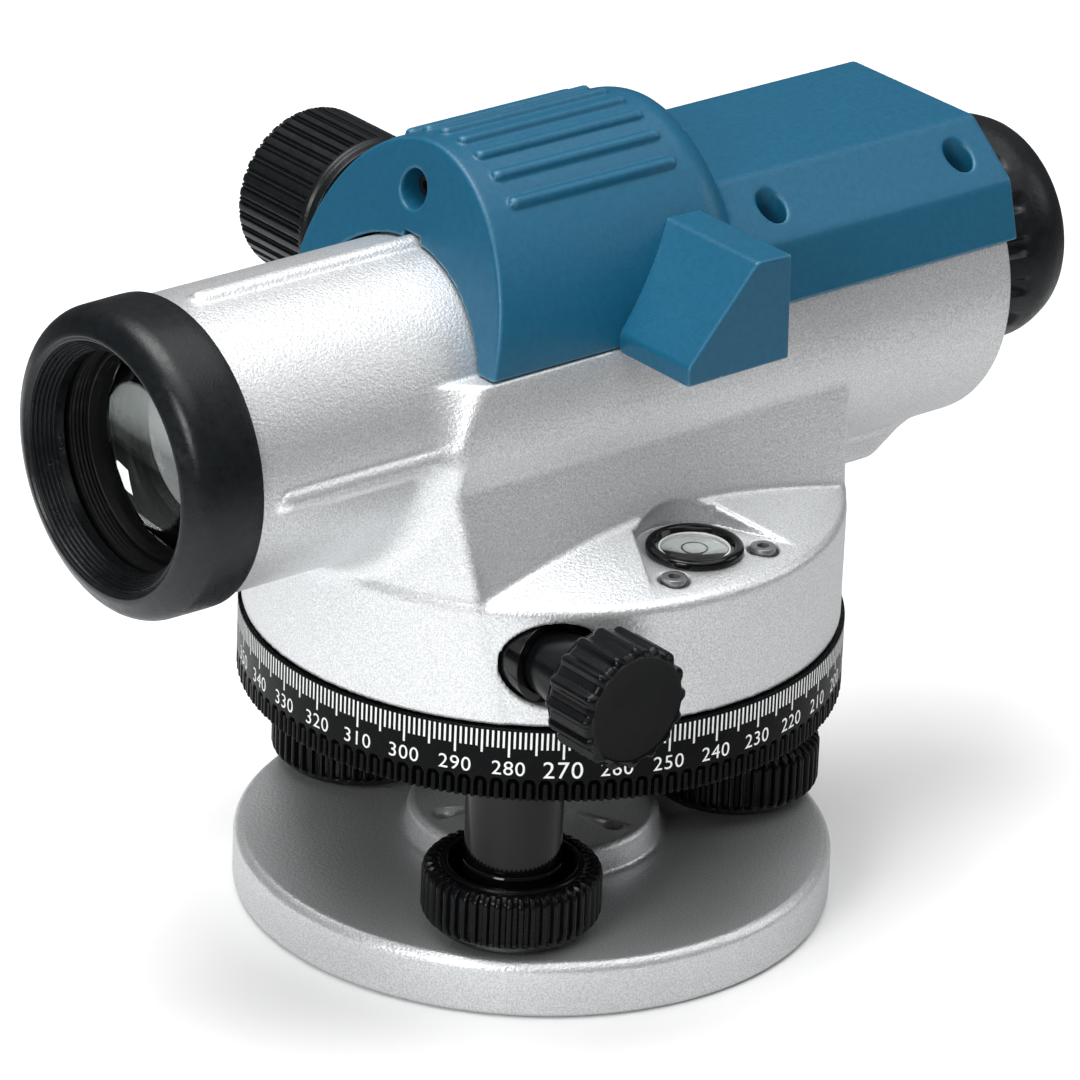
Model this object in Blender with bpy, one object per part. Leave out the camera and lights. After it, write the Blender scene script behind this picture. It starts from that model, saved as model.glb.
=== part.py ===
"""Automatic level, modelled as the pieces it comes apart into.

Blender 4.5, metres, +Z up. The origin is the middle of the bounding box's underside, and the
instrument's vertical axis stands at x = AXIS_X. The telescope looks towards -X, so its objective is
at -X and its eyepiece at +X. The circular bubble, its mirror and the near drive knob are on the -Y
side, and the focus knob is on the +Y side.

Every length below is written in millimetres and turned into metres by MM, and is measured from the
vertical axis: the whole model is moved by AXIS_X at the end. Pieces that turn about an axis are
built about their own local Z and then stood on that axis by their rotation.
"""

import math

import bmesh
import bpy

MM = 0.001
GAP = 0.3

# Driving dimensions, in millimetres.
AXIS_X = -4.85
BASE_RADIUS = 54.0
BASE_HEIGHT = 10.8
BOSS_RADIUS = 22.7
BOSS_TOP = 16.2
TRIPOD_THREAD_RADIUS = 7.94
AXIS_HEIGHT = 105.2
FOOT_CIRCLE_RADIUS = 39.6
FIRST_FOOT_ANGLE = math.radians(-134.3)
FOOT_KNOB_RADIUS = 15.9
FOOT_KNOB_BOTTOM = 12.3
FOOT_KNOB_TOP = 23.9
BALL_HEIGHT = 8.6
CIRCLE_BOTTOM = 42.4
CIRCLE_TOP = 56.0
SKIRT_RADIUS = 53.2
SHELF_HEIGHT = 78.2
SHELF_SLOPE = 0.3
TUBE_RADIUS = 26.2
BARREL_RADIUS = 30.5
BARREL_END = 81.0
PARTING_HEIGHT = 116.3
COVER_END = 82.1
HUMP_HALF = 28.5
HUMP_RISE = 32.6
HUMP_POWER = 1.9
HUMP_FRONT = -33.5
HUMP_LEAN = 0.244
DRIVE_X = -30.8
DRIVE_HEIGHT = 67.9
DRIVE_KNOB_RADIUS = 11.3
DRIVE_KNOB_FACE = 63.7
WORM_RADIUS = 4.5
WHEEL_TEETH = 40
FOCUS_X = -13.3
FOCUS_HEIGHT = 119.2
FOCUS_KNOB_RADIUS = 15.3
PINION_RADIUS = 3.6
BUBBLE_X = 1.6
BUBBLE_Y = -38.9
BUBBLE_FLOOR = 79.5

ALONG_X = (0.0, math.pi / 2, 0.0)
ALONG_Y = (-math.pi / 2, 0.0, 0.0)
ALONG_NEAR_Y = (math.pi / 2, 0.0, 0.0)
UPRIGHT = (0.0, 0.0, 0.0)


# ---------------------------------------------------------------- materials


def make_material(name, colour, metallic, roughness, alpha=1.0):
    look = bpy.data.materials.new(name)
    look.use_nodes = True
    shader = look.node_tree.nodes["Principled BSDF"]
    shader.inputs["Base Color"].default_value = (*colour, 1.0)
    shader.inputs["Metallic"].default_value = metallic
    shader.inputs["Roughness"].default_value = roughness
    shader.inputs["Alpha"].default_value = alpha
    look.diffuse_color = (*colour, alpha)
    return look


def make_materials():
    return {
        "silver": make_material("silver_paint", (0.60, 0.61, 0.62), 0.6, 0.42),
        "blue": make_material("blue_paint", (0.025, 0.17, 0.27), 0.0, 0.4),
        "rubber": make_material("black_rubber", (0.012, 0.012, 0.013), 0.0, 0.6),
        "plastic": make_material("black_plastic", (0.01, 0.01, 0.011), 0.0, 0.3),
        "dark": make_material("blackened_metal", (0.02, 0.02, 0.022), 0.7, 0.45),
        "steel": make_material("steel", (0.55, 0.55, 0.56), 1.0, 0.3),
        "brass": make_material("brass", (0.62, 0.45, 0.18), 1.0, 0.35),
        "glass": make_material("glass", (0.85, 0.92, 0.92), 0.0, 0.03, 0.35),
        "mirror": make_material("mirror", (0.9, 0.9, 0.9), 1.0, 0.02),
    }


# ---------------------------------------------------------------- mesh tools


def circle_ring(radius, height, count):
    """A ring of points about local Z."""
    angles = [2 * math.pi * i / count for i in range(count)]
    return [(radius * math.cos(a), radius * math.sin(a), height) for a in angles]


def lobed_ring(radius, depth, lobes, height):
    """A ring whose radius dips by depth between its lobes."""
    points = []
    for i in range(lobes * 2):
        angle = math.pi * i / lobes
        dip = depth * (i % 2)
        points.append(((radius - dip) * math.cos(angle), (radius - dip) * math.sin(angle), height))
    return points


def skin_rings(mesh, rings, closed):
    """Joins each ring to the next with quads; a one-point ring is a pole."""
    rows = [[mesh.verts.new([c * MM for c in point]) for point in ring] for ring in rings]
    pairs = list(zip(rows, rows[1:]))
    if closed:
        pairs.append((rows[-1], rows[0]))
    for low, high in pairs:
        count = max(len(low), len(high))
        for i in range(count):
            j = (i + 1) % count
            corners = [low[i % len(low)], low[j % len(low)], high[j % len(high)], high[i % len(high)]]
            face = list(dict.fromkeys(corners))
            mesh.faces.new(face)
    if not closed:
        for row in (rows[0], rows[-1]):
            if len(row) > 2:
                mesh.faces.new(row)
    bmesh.ops.recalc_face_normals(mesh, faces=mesh.faces)


def add_mesh_object(name, mesh, look, location, rotation):
    data = bpy.data.meshes.new(name)
    mesh.to_mesh(data)
    mesh.free()
    data.materials.append(look)
    data.shade_smooth()
    data.set_sharp_from_angle(angle=math.radians(35))
    piece = bpy.data.objects.new(name, data)
    piece.location = [c * MM for c in location]
    piece.rotation_euler = rotation
    bpy.context.scene.collection.objects.link(piece)
    return piece


def lofted(name, rings, look, location=(0, 0, 0), rotation=UPRIGHT, closed=False):
    mesh = bmesh.new()
    skin_rings(mesh, rings, closed)
    return add_mesh_object(name, mesh, look, location, rotation)


def turned(name, profile, look, count=32, location=(0, 0, 0), rotation=UPRIGHT, closed=False):
    """A turned piece: profile is (radius, height) pairs; radius 0 makes a pole."""
    rings = [circle_ring(r, h, count) if r else [(0.0, 0.0, h)] for r, h in profile]
    return lofted(name, rings, look, location, rotation, closed)


def cylinder(name, radius, low, high, look, count=20, location=(0, 0, 0), rotation=UPRIGHT):
    profile = ((0, low), (radius, low), (radius, high), (0, high))
    return turned(name, profile, look, count, location, rotation)


def box(name, low, high, look):
    """A block between two corners, in world millimetres, with its own centre as its origin."""
    half = [(b - a) / 2 for a, b in zip(low, high)]
    centre = [(b + a) / 2 for a, b in zip(low, high)]
    corners = ((-1, -1), (1, -1), (1, 1), (-1, 1))
    rings = [[(x * half[0], y * half[1], z * half[2]) for x, y in corners] for z in (-1, 1)]
    return lofted(name, rings, look, centre)


def prism_along_y(name, outline, low, high, look):
    """An (x, z) outline carried along Y from low to high."""
    rings = [[(x, y, z) for x, z in outline] for y in (low, high)]
    return lofted(name, rings, look)


def prism_along_x(name, outline, low, high, look):
    """A (y, z) outline carried along X from low to high."""
    rings = [[(x, y, z) for y, z in outline] for x in (low, high)]
    return lofted(name, rings, look)


def add_bevel(piece, width):
    bevel = piece.modifiers.new("bevel", "BEVEL")
    bevel.width = width * MM
    bevel.segments = 1
    bevel.limit_method = "ANGLE"
    bevel.angle_limit = math.radians(50)


def hide(helper):
    helper.hide_render = True
    helper.display_type = "WIRE"
    return helper


def combine(piece, helper, operation, solver="EXACT"):
    modifier = piece.modifiers.new(operation.lower(), "BOOLEAN")
    modifier.operation = operation
    modifier.solver = solver
    modifier.object = hide(helper)


def cut(piece, helper, solver="EXACT"):
    combine(piece, helper, "DIFFERENCE", solver)


def join(piece, helper):
    combine(piece, helper, "UNION")


def arc(centre, radius, start, end, steps):
    """Points of an arc in a plane, with angles in degrees."""
    angles = [math.radians(start + (end - start) * i / steps) for i in range(steps + 1)]
    return [(centre[0] + radius * math.cos(a), centre[1] + radius * math.sin(a)) for a in angles]


def foot_place(index, height=0.0):
    angle = FIRST_FOOT_ANGLE + index * 2 * math.pi / 3
    return (FOOT_CIRCLE_RADIUS * math.cos(angle), FOOT_CIRCLE_RADIUS * math.sin(angle), height)


# ---------------------------------------------------------------- base and foot screws

UNDERSIDE_RECESS = 3.2
RECESS_RADIUS = 47.0
HUB_RADIUS = 13.0
SPRING_LOW = 1.6
SPRING_HIGH = 2.8
SPRING_SCREW_CIRCLE = 17.5
SPRING_SCREW_HOLE = 1.9
SEAT_HOLE_RADIUS = 7.0
SLEEVE_RADIUS = 8.6
SLEEVE_BOTTOM = 21.2
SPINDLE_RADIUS = 3.0
KNOB_RECESS_FLOOR = 18.0


def spring_screw_place(index):
    angle = FIRST_FOOT_ANGLE + math.pi / 3 + index * 2 * math.pi / 3
    return (SPRING_SCREW_CIRCLE * math.cos(angle), SPRING_SCREW_CIRCLE * math.sin(angle), 0.0)


def build_base_plate(look):
    profile = [
        (HUB_RADIUS, 0.0),
        (TRIPOD_THREAD_RADIUS, 0.0),
        (TRIPOD_THREAD_RADIUS, BOSS_TOP),
        (BOSS_RADIUS - 2.5, BOSS_TOP),
        (BOSS_RADIUS, BASE_HEIGHT),
        (BASE_RADIUS - 3.0, BASE_HEIGHT),
        (BASE_RADIUS, BASE_HEIGHT - 3.0),
        (BASE_RADIUS, 1.0),
        (BASE_RADIUS - 1.0, 0.0),
        (RECESS_RADIUS, 0.0),
        (RECESS_RADIUS, UNDERSIDE_RECESS),
        (HUB_RADIUS, UNDERSIDE_RECESS),
    ]
    plate = turned("base_plate", profile, look, 40, closed=True)
    for index in range(3):
        seat = f"seat_hole_{index + 1}"
        cut(plate, cylinder(seat, SEAT_HOLE_RADIUS, -1.0, BASE_HEIGHT + 5.0, look, 16, foot_place(index)))
        drill = f"spring_screw_hole_{index + 1}"
        place = spring_screw_place(index)
        cut(plate, cylinder(drill, SPRING_SCREW_HOLE, -1.0, BOSS_TOP + 5.0, look, 8, place))


def build_spring_plate(look):
    """A three-armed leaf under the plate that carries the foot screws' cups."""
    count = 30
    outline = []
    for i in range(count):
        angle = 2 * math.pi * i / count
        reach = 0.5 + 0.5 * math.cos(3 * (angle - FIRST_FOOT_ANGLE))
        outline.append((angle, 22.0 + 24.0 * reach**1.5))
    edges = (SPRING_LOW, SPRING_HIGH)
    outer = [[(r * math.cos(a), r * math.sin(a), z) for a, r in outline] for z in edges]
    inner = [circle_ring(HUB_RADIUS + 1.0, z, count) for z in (SPRING_HIGH, SPRING_LOW)]
    leaf = lofted("spring_plate", outer + inner, look, closed=True)
    for index in range(3):
        place = spring_screw_place(index)
        cut(leaf, cylinder(f"leaf_hole_{index + 1}", SPRING_SCREW_HOLE, 0.0, 5.0, look, 8, place))


def build_spring_screw(index, look):
    head, shank = 3.0, 1.5
    under_head = SPRING_LOW - GAP
    profile = ((0, 0.3), (head, 0.3), (head, under_head), (shank, under_head), (shank, 14.5), (0, 14.5))
    turned(f"spring_plate_screw_{index + 1}", profile, look, 8, spring_screw_place(index))


def build_foot_seat(index, look):
    profile = (
        (0, SPRING_HIGH + GAP - BALL_HEIGHT),
        (6.5, SPRING_HIGH + GAP - BALL_HEIGHT),
        (6.5, 10.4 - BALL_HEIGHT),
        (4.5, 10.4 - BALL_HEIGHT),
        (4.5, 4.3 - BALL_HEIGHT),
        (0, 4.3 - BALL_HEIGHT),
    )
    turned(f"foot_seat_{index + 1}", profile, look, 16, foot_place(index, BALL_HEIGHT))


def build_foot_swivel(index, look):
    """The ball end that sits in a cup and doesn't turn with the screw."""
    ball = [(4.0 * math.sin(math.radians(a)), -4.0 * math.cos(math.radians(a))) for a in range(0, 136, 45)]
    ball[0] = (0, -4.0)
    neck = [(2.8, 3.4), (0, 3.4)]
    turned(f"foot_swivel_{index + 1}", ball + neck, look, 12, foot_place(index, BALL_HEIGHT))


def build_foot_screw(index, look):
    """A ribbed knob moulded on its threaded spindle."""
    ribs = 15
    count = ribs * 2
    rings = [
        [(0.0, 0.0, FOOT_KNOB_BOTTOM)],
        circle_ring(FOOT_KNOB_RADIUS - 1.6, FOOT_KNOB_BOTTOM, count),
        circle_ring(FOOT_KNOB_RADIUS - 0.7, FOOT_KNOB_BOTTOM + 1.2, count),
        lobed_ring(FOOT_KNOB_RADIUS, 0.5, ribs, FOOT_KNOB_BOTTOM + 1.8),
        lobed_ring(FOOT_KNOB_RADIUS, 0.5, ribs, FOOT_KNOB_TOP - 1.2),
        circle_ring(FOOT_KNOB_RADIUS - 1.8, FOOT_KNOB_TOP, count),
        circle_ring(11.2, FOOT_KNOB_TOP - 0.4, count),
        circle_ring(10.6, KNOB_RECESS_FLOOR, count),
        circle_ring(SPINDLE_RADIUS, KNOB_RECESS_FLOOR, count),
        circle_ring(SPINDLE_RADIUS, 40.0, count),
        [(0.0, 0.0, 40.0)],
    ]
    lofted(f"foot_screw_{index + 1}", rings, look, foot_place(index))


def build_base_group(looks):
    build_base_plate(looks["silver"])
    build_spring_plate(looks["steel"])
    for index in range(3):
        build_spring_screw(index, looks["steel"])
        build_foot_seat(index, looks["brass"])
        build_foot_swivel(index, looks["steel"])
        build_foot_screw(index, looks["plastic"])


# ---------------------------------------------------------------- tribrach and circle

TRIBRACH_LOW = 39.5
TRIBRACH_HIGH = 45.7
TRIBRACH_RADIUS = 49.9
HUB_OUTER = 17.0
WHEEL_SHOULDER = 64.6
HUB_TOP = 70.0
BUSH_RADIUS = 8.7
SHAFT_RADIUS = 6.0


def build_tribrach(look):
    profile = [
        (BUSH_RADIUS + GAP, TRIBRACH_LOW),
        (TRIBRACH_RADIUS - 3.0, TRIBRACH_LOW),
        (TRIBRACH_RADIUS, TRIBRACH_LOW + 3.0),
        (TRIBRACH_RADIUS, TRIBRACH_HIGH),
        (HUB_OUTER, TRIBRACH_HIGH),
        (HUB_OUTER, WHEEL_SHOULDER),
        (14.0, WHEEL_SHOULDER),
        (14.0, HUB_TOP),
        (BUSH_RADIUS + GAP, HUB_TOP),
    ]
    body = turned("tribrach_body", profile, look, 36, closed=True)
    for index in range(3):
        hole = f"sleeve_hole_{index + 1}"
        cut(body, cylinder(hole, SLEEVE_RADIUS + GAP, 30.0, 60.0, look, 20, foot_place(index)))


def build_foot_sleeve(index, look):
    bore = SPINDLE_RADIUS + 0.4
    profile = (
        (0, TRIBRACH_HIGH - GAP),
        (SLEEVE_RADIUS, TRIBRACH_HIGH - GAP),
        (SLEEVE_RADIUS, SLEEVE_BOTTOM + 0.6),
        (SLEEVE_RADIUS - 0.6, SLEEVE_BOTTOM),
        (bore, SLEEVE_BOTTOM),
        (bore, 43.5),
        (0, 43.5),
    )
    turned(f"foot_sleeve_{index + 1}", profile, look, 20, foot_place(index))


def build_axis_bush(look):
    bore = SHAFT_RADIUS + 0.1
    profile = ((BUSH_RADIUS, 41.0), (BUSH_RADIUS, HUB_TOP), (bore, HUB_TOP), (bore, 41.0))
    turned("axis_bush", profile, look, 24, closed=True)


def build_worm_wheel(look):
    """The toothed ring that grips the hub by friction; the drive worm pushes against it."""
    bore = 14.0 + GAP
    low, high = WHEEL_SHOULDER + GAP, HUB_TOP
    tip = -DRIVE_X - WORM_RADIUS - GAP
    count = WHEEL_TEETH * 2
    rings = [
        circle_ring(bore, low, count),
        lobed_ring(tip, 1.0, WHEEL_TEETH, low),
        lobed_ring(tip, 1.0, WHEEL_TEETH, high),
        circle_ring(bore, high, count),
    ]
    lofted("worm_wheel", rings, look, closed=True)


def build_horizontal_circle(look):
    profile = (
        (BASE_RADIUS, CIRCLE_TOP),
        (BASE_RADIUS, CIRCLE_BOTTOM + 0.5),
        (BASE_RADIUS - 0.5, CIRCLE_BOTTOM),
        (50.4, CIRCLE_BOTTOM),
        (50.4, 46.1),
        (44.0, 46.1),
        (44.0, 48.5),
        (50.4, 48.5),
        (50.4, CIRCLE_TOP),
    )
    turned("horizontal_circle", profile, look, 48, closed=True)


def build_tribrach_group(looks):
    build_tribrach(looks["dark"])
    for index in range(3):
        build_foot_sleeve(index, looks["plastic"])
    build_axis_bush(looks["brass"])
    build_worm_wheel(looks["brass"])
    build_horizontal_circle(looks["plastic"])


# ---------------------------------------------------------------- housing

CEILING = 74.0
WALL_FRONT_LOW = 33.5
WALL_FRONT_HIGH = 29.6
WALL_REAR_LOW = 31.3
WALL_REAR_HIGH = 29.7
CREASE_HEIGHT = 98.2
BARREL_FRONT = -53.0
FRONT_CURVE = ((70.0, 52.8), (102.0, 52.8), (105.0, 52.6), (109.0, 51.5), (113.0, 49.5), (120.0, 43.8))
TUBE_FRONT = -90.0
TUBE_REAR = -28.0
TUBE_BORE = 23.6
BARREL_BORE = 27.0
EYEPIECE_HOLE = 12.4
PEDESTAL_INSET = 0.4
RECESS_TOP = BUBBLE_FLOOR + 9.0
DRIVE_BORE = 7.94
FOCUS_BORE = 6.5


def pedestal_section(height, arc_steps=10):
    """The block under the telescope: two drafted walls between arcs of the skirt's own circle."""
    share = (height - SHELF_HEIGHT) / (CREASE_HEIGHT - SHELF_HEIGHT)
    front = WALL_FRONT_LOW + (WALL_FRONT_HIGH - WALL_FRONT_LOW) * share
    rear = WALL_REAR_LOW + (WALL_REAR_HIGH - WALL_REAR_LOW) * share
    rear_angle = math.degrees(math.asin(rear / SKIRT_RADIUS))
    front_angle = 180.0 - math.degrees(math.asin(front / SKIRT_RADIUS))
    radius = SKIRT_RADIUS - PEDESTAL_INSET
    points = arc((0, 0), radius, -rear_angle, rear_angle, arc_steps)
    points += arc((0, 0), radius, front_angle, 360.0 - front_angle, arc_steps)
    return [(x, y, height) for x, y in points]


def build_barrel(look):
    """The telescope's rear body, open at the top where the cover sits."""
    rise = PARTING_HEIGHT - GAP - AXIS_HEIGHT
    lip = math.degrees(math.asin(rise / BARREL_RADIUS))
    outline = arc((0, AXIS_HEIGHT), BARREL_RADIUS, lip, -180.0 - lip, 30)
    barrel = prism_along_x("barrel", outline, BARREL_FRONT, BARREL_END, look)
    cut(barrel, build_front_cutter(look))
    return barrel


def build_front_cutter(look):
    """Rounds the barrel's front about the vertical axis, drawing in as it rises."""
    rings = []
    for height, radius in FRONT_CURVE:
        edge = arc((0, 0), radius, 130.0, 230.0, 12)
        edge += [(-radius, -60.0), (-75.0, -60.0), (-75.0, 60.0), (-radius, 60.0)]
        rings.append([(x, y, height) for x, y in edge])
    return lofted("front_cutter", rings, look)


def build_tube(look):
    profile = ((0, TUBE_FRONT), (TUBE_RADIUS, TUBE_FRONT), (TUBE_RADIUS, TUBE_REAR), (0, TUBE_REAR))
    return turned("tube", profile, look, 40, (0, 0, AXIS_HEIGHT), ALONG_X)


def build_tube_rib(index, look):
    """A low half-round bar along the tube, at the top and on each side."""
    angle = math.radians((-90.0, 0.0, 90.0)[index])
    front, rear = (-79.0, -42.0) if index != 1 else (-78.0, -36.0)
    centre = TUBE_RADIUS - 1.0
    rings = []
    for x, size in ((front, 0.9), (front + 1.0, 1.7), (rear - 1.0, 1.7), (rear, 0.9)):
        across = arc((0, 0), size, 0, 315, 7)
        ring = []
        for side, out in across:
            reach = centre + out
            y = reach * math.sin(angle) + side * math.cos(angle)
            z = reach * math.cos(angle) - side * math.sin(angle)
            ring.append((x, y, AXIS_HEIGHT + z))
        rings.append(ring)
    return lofted(f"tube_rib_{index + 1}", rings, look)


def build_keel(look):
    """The shallow flat-bottomed pad under the rear of the barrel."""
    outline = [(40.0, 72.6), (64.0, 72.6), (72.0, 78.0), (72.0, 84.0), (40.0, 84.0)]
    return prism_along_y("keel", outline, -15.0, 15.0, look)


def build_bubble_recess(look):
    """The flat-floored pocket in the sloping shelf; it bites a little into the wall behind it."""
    well = 7.4
    profile = (
        (0, 75.2),
        (well, 75.2),
        (well, BUBBLE_FLOOR),
        (10.8, BUBBLE_FLOOR),
        (10.4, BUBBLE_FLOOR + 4.5),
        (8.0, RECESS_TOP),
        (0, RECESS_TOP),
    )
    return turned("bubble_recess", profile, look, 24, (BUBBLE_X, BUBBLE_Y, 0))


def build_recess_flare(look):
    """The recess's straight sides, which open outwards to the rim of the shelf."""
    plan = [(-7.5, -33.0), (-15.5, -50.0), (-12.0, -58.0), (16.0, -58.0), (19.5, -50.0), (11.0, -33.0)]
    rings = [[(x, y, z) for x, y in plan] for z in (BUBBLE_FLOOR + 0.01, RECESS_TOP)]
    return lofted("recess_flare", rings, look)


def build_housing(look):
    inner = 24.0
    cone_top = SHELF_HEIGHT + SHELF_SLOPE * (SKIRT_RADIUS - inner)
    profile = [
        (0, cone_top),
        (inner, cone_top),
        (SKIRT_RADIUS - 1.2, SHELF_HEIGHT + 0.2),
        (SKIRT_RADIUS - 0.3, SHELF_HEIGHT - 0.3),
        (SKIRT_RADIUS, SHELF_HEIGHT - 1.2),
        (SKIRT_RADIUS, CIRCLE_TOP + GAP),
        (49.5, CIRCLE_TOP + GAP),
        (49.5, CEILING),
        (0, CEILING),
    ]
    housing = turned("housing", profile, look, 48)
    sections = [pedestal_section(z) for z in (CEILING + 1.0, SHELF_HEIGHT, CREASE_HEIGHT, 104.0)]
    join(housing, lofted("pedestal", sections, look))
    join(housing, build_barrel(look))
    join(housing, build_tube(look))
    join(housing, build_keel(look))
    for index in range(3):
        join(housing, build_tube_rib(index, look))
    cut_housing(housing, look)


def cut_housing(housing, look):
    """The exact solver leaves open edges between these bores, so they use the manifold one."""
    bore = (
        (0, TUBE_FRONT - 5.0),
        (TUBE_BORE, TUBE_FRONT - 5.0),
        (TUBE_BORE, TUBE_REAR + 1.0),
        (BARREL_BORE, TUBE_REAR + 1.0),
        (BARREL_BORE, BARREL_END - 4.5),
        (EYEPIECE_HOLE, BARREL_END - 4.5),
        (EYEPIECE_HOLE, BARREL_END + 5.0),
        (0, BARREL_END + 5.0),
    )
    drive_axis = (DRIVE_X, 0, DRIVE_HEIGHT)
    focus_axis = (FOCUS_X, 0, FOCUS_HEIGHT)
    cutters = [
        turned("telescope_bore", bore, look, 32, (0, 0, AXIS_HEIGHT), ALONG_X),
        cylinder("drive_bore", DRIVE_BORE, -60.0, 60.0, look, 24, drive_axis, ALONG_Y),
        cylinder("focus_bore", FOCUS_BORE, 18.0, 40.0, look, 16, focus_axis, ALONG_Y),
        build_bubble_recess(look),
        build_recess_flare(look),
        cylinder("axis_hole", 4.0, 70.0, 77.0, look, 16),
    ]
    for index, (x, y) in enumerate(BUBBLE_SCREWS):
        cutters.append(cylinder(f"bubble_screw_hole_{index + 1}", 2.6, 75.5, 85.0, look, 10, (x, y, 0)))
    for cutter in cutters:
        cut(housing, cutter, "MANIFOLD")


# ---------------------------------------------------------------- cover

WALL = 2.2
ROOF_START = 19.5
RIB_PLACES = [4.72 * (i - 3.5) for i in range(8)]
RIB_FRONT = -24.6
RIB_REAR = 12.2
ROOF_OUTLINE = ((29.8, 0.0), (27.0, 10.7), (16.2, 19.5))


def hump_section(inset, bottom, rib_height=0.0):
    """The arched section as (y, z) points, from the near foot over the top to the far foot.

    Every ring of the hump has the same number of points, at the same shares of its half width.
    """
    half, rise = HUMP_HALF - inset, HUMP_RISE - inset
    sides = [math.sin(math.radians(a)) ** (2 / HUMP_POWER) for a in (78.0, 67.0, 57.0, 48.0)]
    marks = [(-share, 0.0) for share in sides]
    for place in RIB_PLACES:
        lifts = ((place - 1.0, 0.0), (place, rib_height), (place + 1.0, 0.0))
        marks += [(y / HUMP_HALF, lift) for y, lift in lifts]
    marks += [(share, 0.0) for share in reversed(sides)]
    points = [(-half, bottom)]
    for share, lift in marks:
        height = (1 - abs(share) ** HUMP_POWER) ** (1 / HUMP_POWER)
        points.append((half * share, PARTING_HEIGHT + rise * height + lift))
    return points + [(half, bottom)]


def leaning(section, front):
    """Stands a section in the front face's plane, which leans back as it rises."""
    return [(front + HUMP_LEAN * (z - 126.8), y, z) for y, z in section]


def standing(section, x):
    return [(x, y, z) for y, z in section]


def build_hump(look):
    low = PARTING_HEIGHT
    rings = [
        leaning(hump_section(0.8, low), HUMP_FRONT),
        leaning(hump_section(0.0, low), HUMP_FRONT + 0.9),
        standing(hump_section(0.0, low), RIB_FRONT - 0.6),
        standing(hump_section(0.0, low, 0.7), RIB_FRONT + 0.6),
        standing(hump_section(0.0, low, 0.7), RIB_REAR - 0.6),
        standing(hump_section(0.0, low), RIB_REAR + 0.6),
        standing(hump_section(0.0, low), 14.5),
        standing(hump_section(0.9, low), 18.0),
        standing(hump_section(3.4, low), 20.8),
        standing(hump_section(6.4, low), 22.0),
    ]
    return lofted("hump", rings, look)


def roof_section(inset, low):
    right = [(y - inset, PARTING_HEIGHT + z - inset * 0.6) for y, z in ROOF_OUTLINE]
    right[0] = (right[0][0], low)
    return right + [(-y, z) for y, z in reversed(right)]


def build_cover(look):
    cover = prism_along_x("top_cover", roof_section(0.0, PARTING_HEIGHT), ROOF_START, COVER_END, look)
    join(cover, build_hump(look))
    inner_low = PARTING_HEIGHT - 5.0
    arch = hump_section(WALL, inner_low)
    inner = [leaning(arch, HUMP_FRONT + WALL), standing(arch, 18.5)]
    cut(cover, lofted("hump_inside", inner, look))
    roof = roof_section(WALL, inner_low)
    cut(cover, prism_along_x("roof_inside", roof, ROOF_START - 3.0, COVER_END - WALL, look))
    telescope = (0, 0, AXIS_HEIGHT)
    cut(cover, cylinder("tube_arch", TUBE_RADIUS + 0.4, -45.0, -25.0, look, 40, telescope, ALONG_X))
    cut(cover, cylinder("eyepiece_arch", EYEPIECE_HOLE, 78.0, 85.0, look, 24, telescope, ALONG_X))
    notch = [(-2.3, 125.0), (2.3, 125.0), (2.3, 133.0), (-2.3, 133.0)]
    cut(cover, prism_along_x("rib_notch", notch, -45.0, -25.0, look))
    focus_axis = (FOCUS_X, 0, FOCUS_HEIGHT)
    cut(cover, cylinder("cover_focus_bore", FOCUS_BORE, 18.0, 40.0, look, 16, focus_axis, ALONG_Y))
    drill_cover(cover, look)


COVER_SCREW_X = (30.5, 74.0)
COVER_SCREW_Y = 21.3
FRONT_WELL_Y = 2.2
FRONT_WELL_HEIGHT = 140.0
FRONT_WELL_RADIUS = 3.4


def slope_screw_places():
    return [(x, side * COVER_SCREW_Y) for side in (-1, 1) for x in COVER_SCREW_X]


def drill_cover(cover, look):
    """Screw wells: four down through the slopes and one back through the nose."""
    for index, (x, y) in enumerate(slope_screw_places()):
        cut(cover, cylinder(f"cover_well_{index + 1}", 2.7, 105.0, 145.0, look, 12, (x, y, 0)))
    nose = (0, FRONT_WELL_Y, FRONT_WELL_HEIGHT)
    cut(cover, cylinder("front_well", FRONT_WELL_RADIUS, -45.0, -20.0, look, 16, nose, ALONG_X))


def build_cover_screws(look):
    head = ((0, 126.5), (2.3, 126.5), (2.3, 124.0), (1.2, 124.0), (1.2, 119.0), (0, 119.0))
    names = ("near_front", "near_rear", "far_front", "far_rear")
    for name, place in zip(names, slope_screw_places()):
        turned(f"cover_screw_{name}", head, look, 8, (place[0], place[1], 0))
    front = ((0, -27.5), (2.1, -27.5), (2.1, -25.5), (1.0, -25.5), (1.0, -20.0), (0, -20.0))
    turned("cover_screw_nose", front, look, 8, (0, FRONT_WELL_Y, FRONT_WELL_HEIGHT), ALONG_X)


HOOD_OUTER = -47.0
HOOD_GAP = 0.6
HOOD_INNER = -21.0
MIRROR_INNER = -29.6
HOOD_OUTLINE = ((5.7, 135.2), (13.2, 135.0), (13.7, 115.7), (-8.6, 115.5), (-8.7, 119.0))


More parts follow.
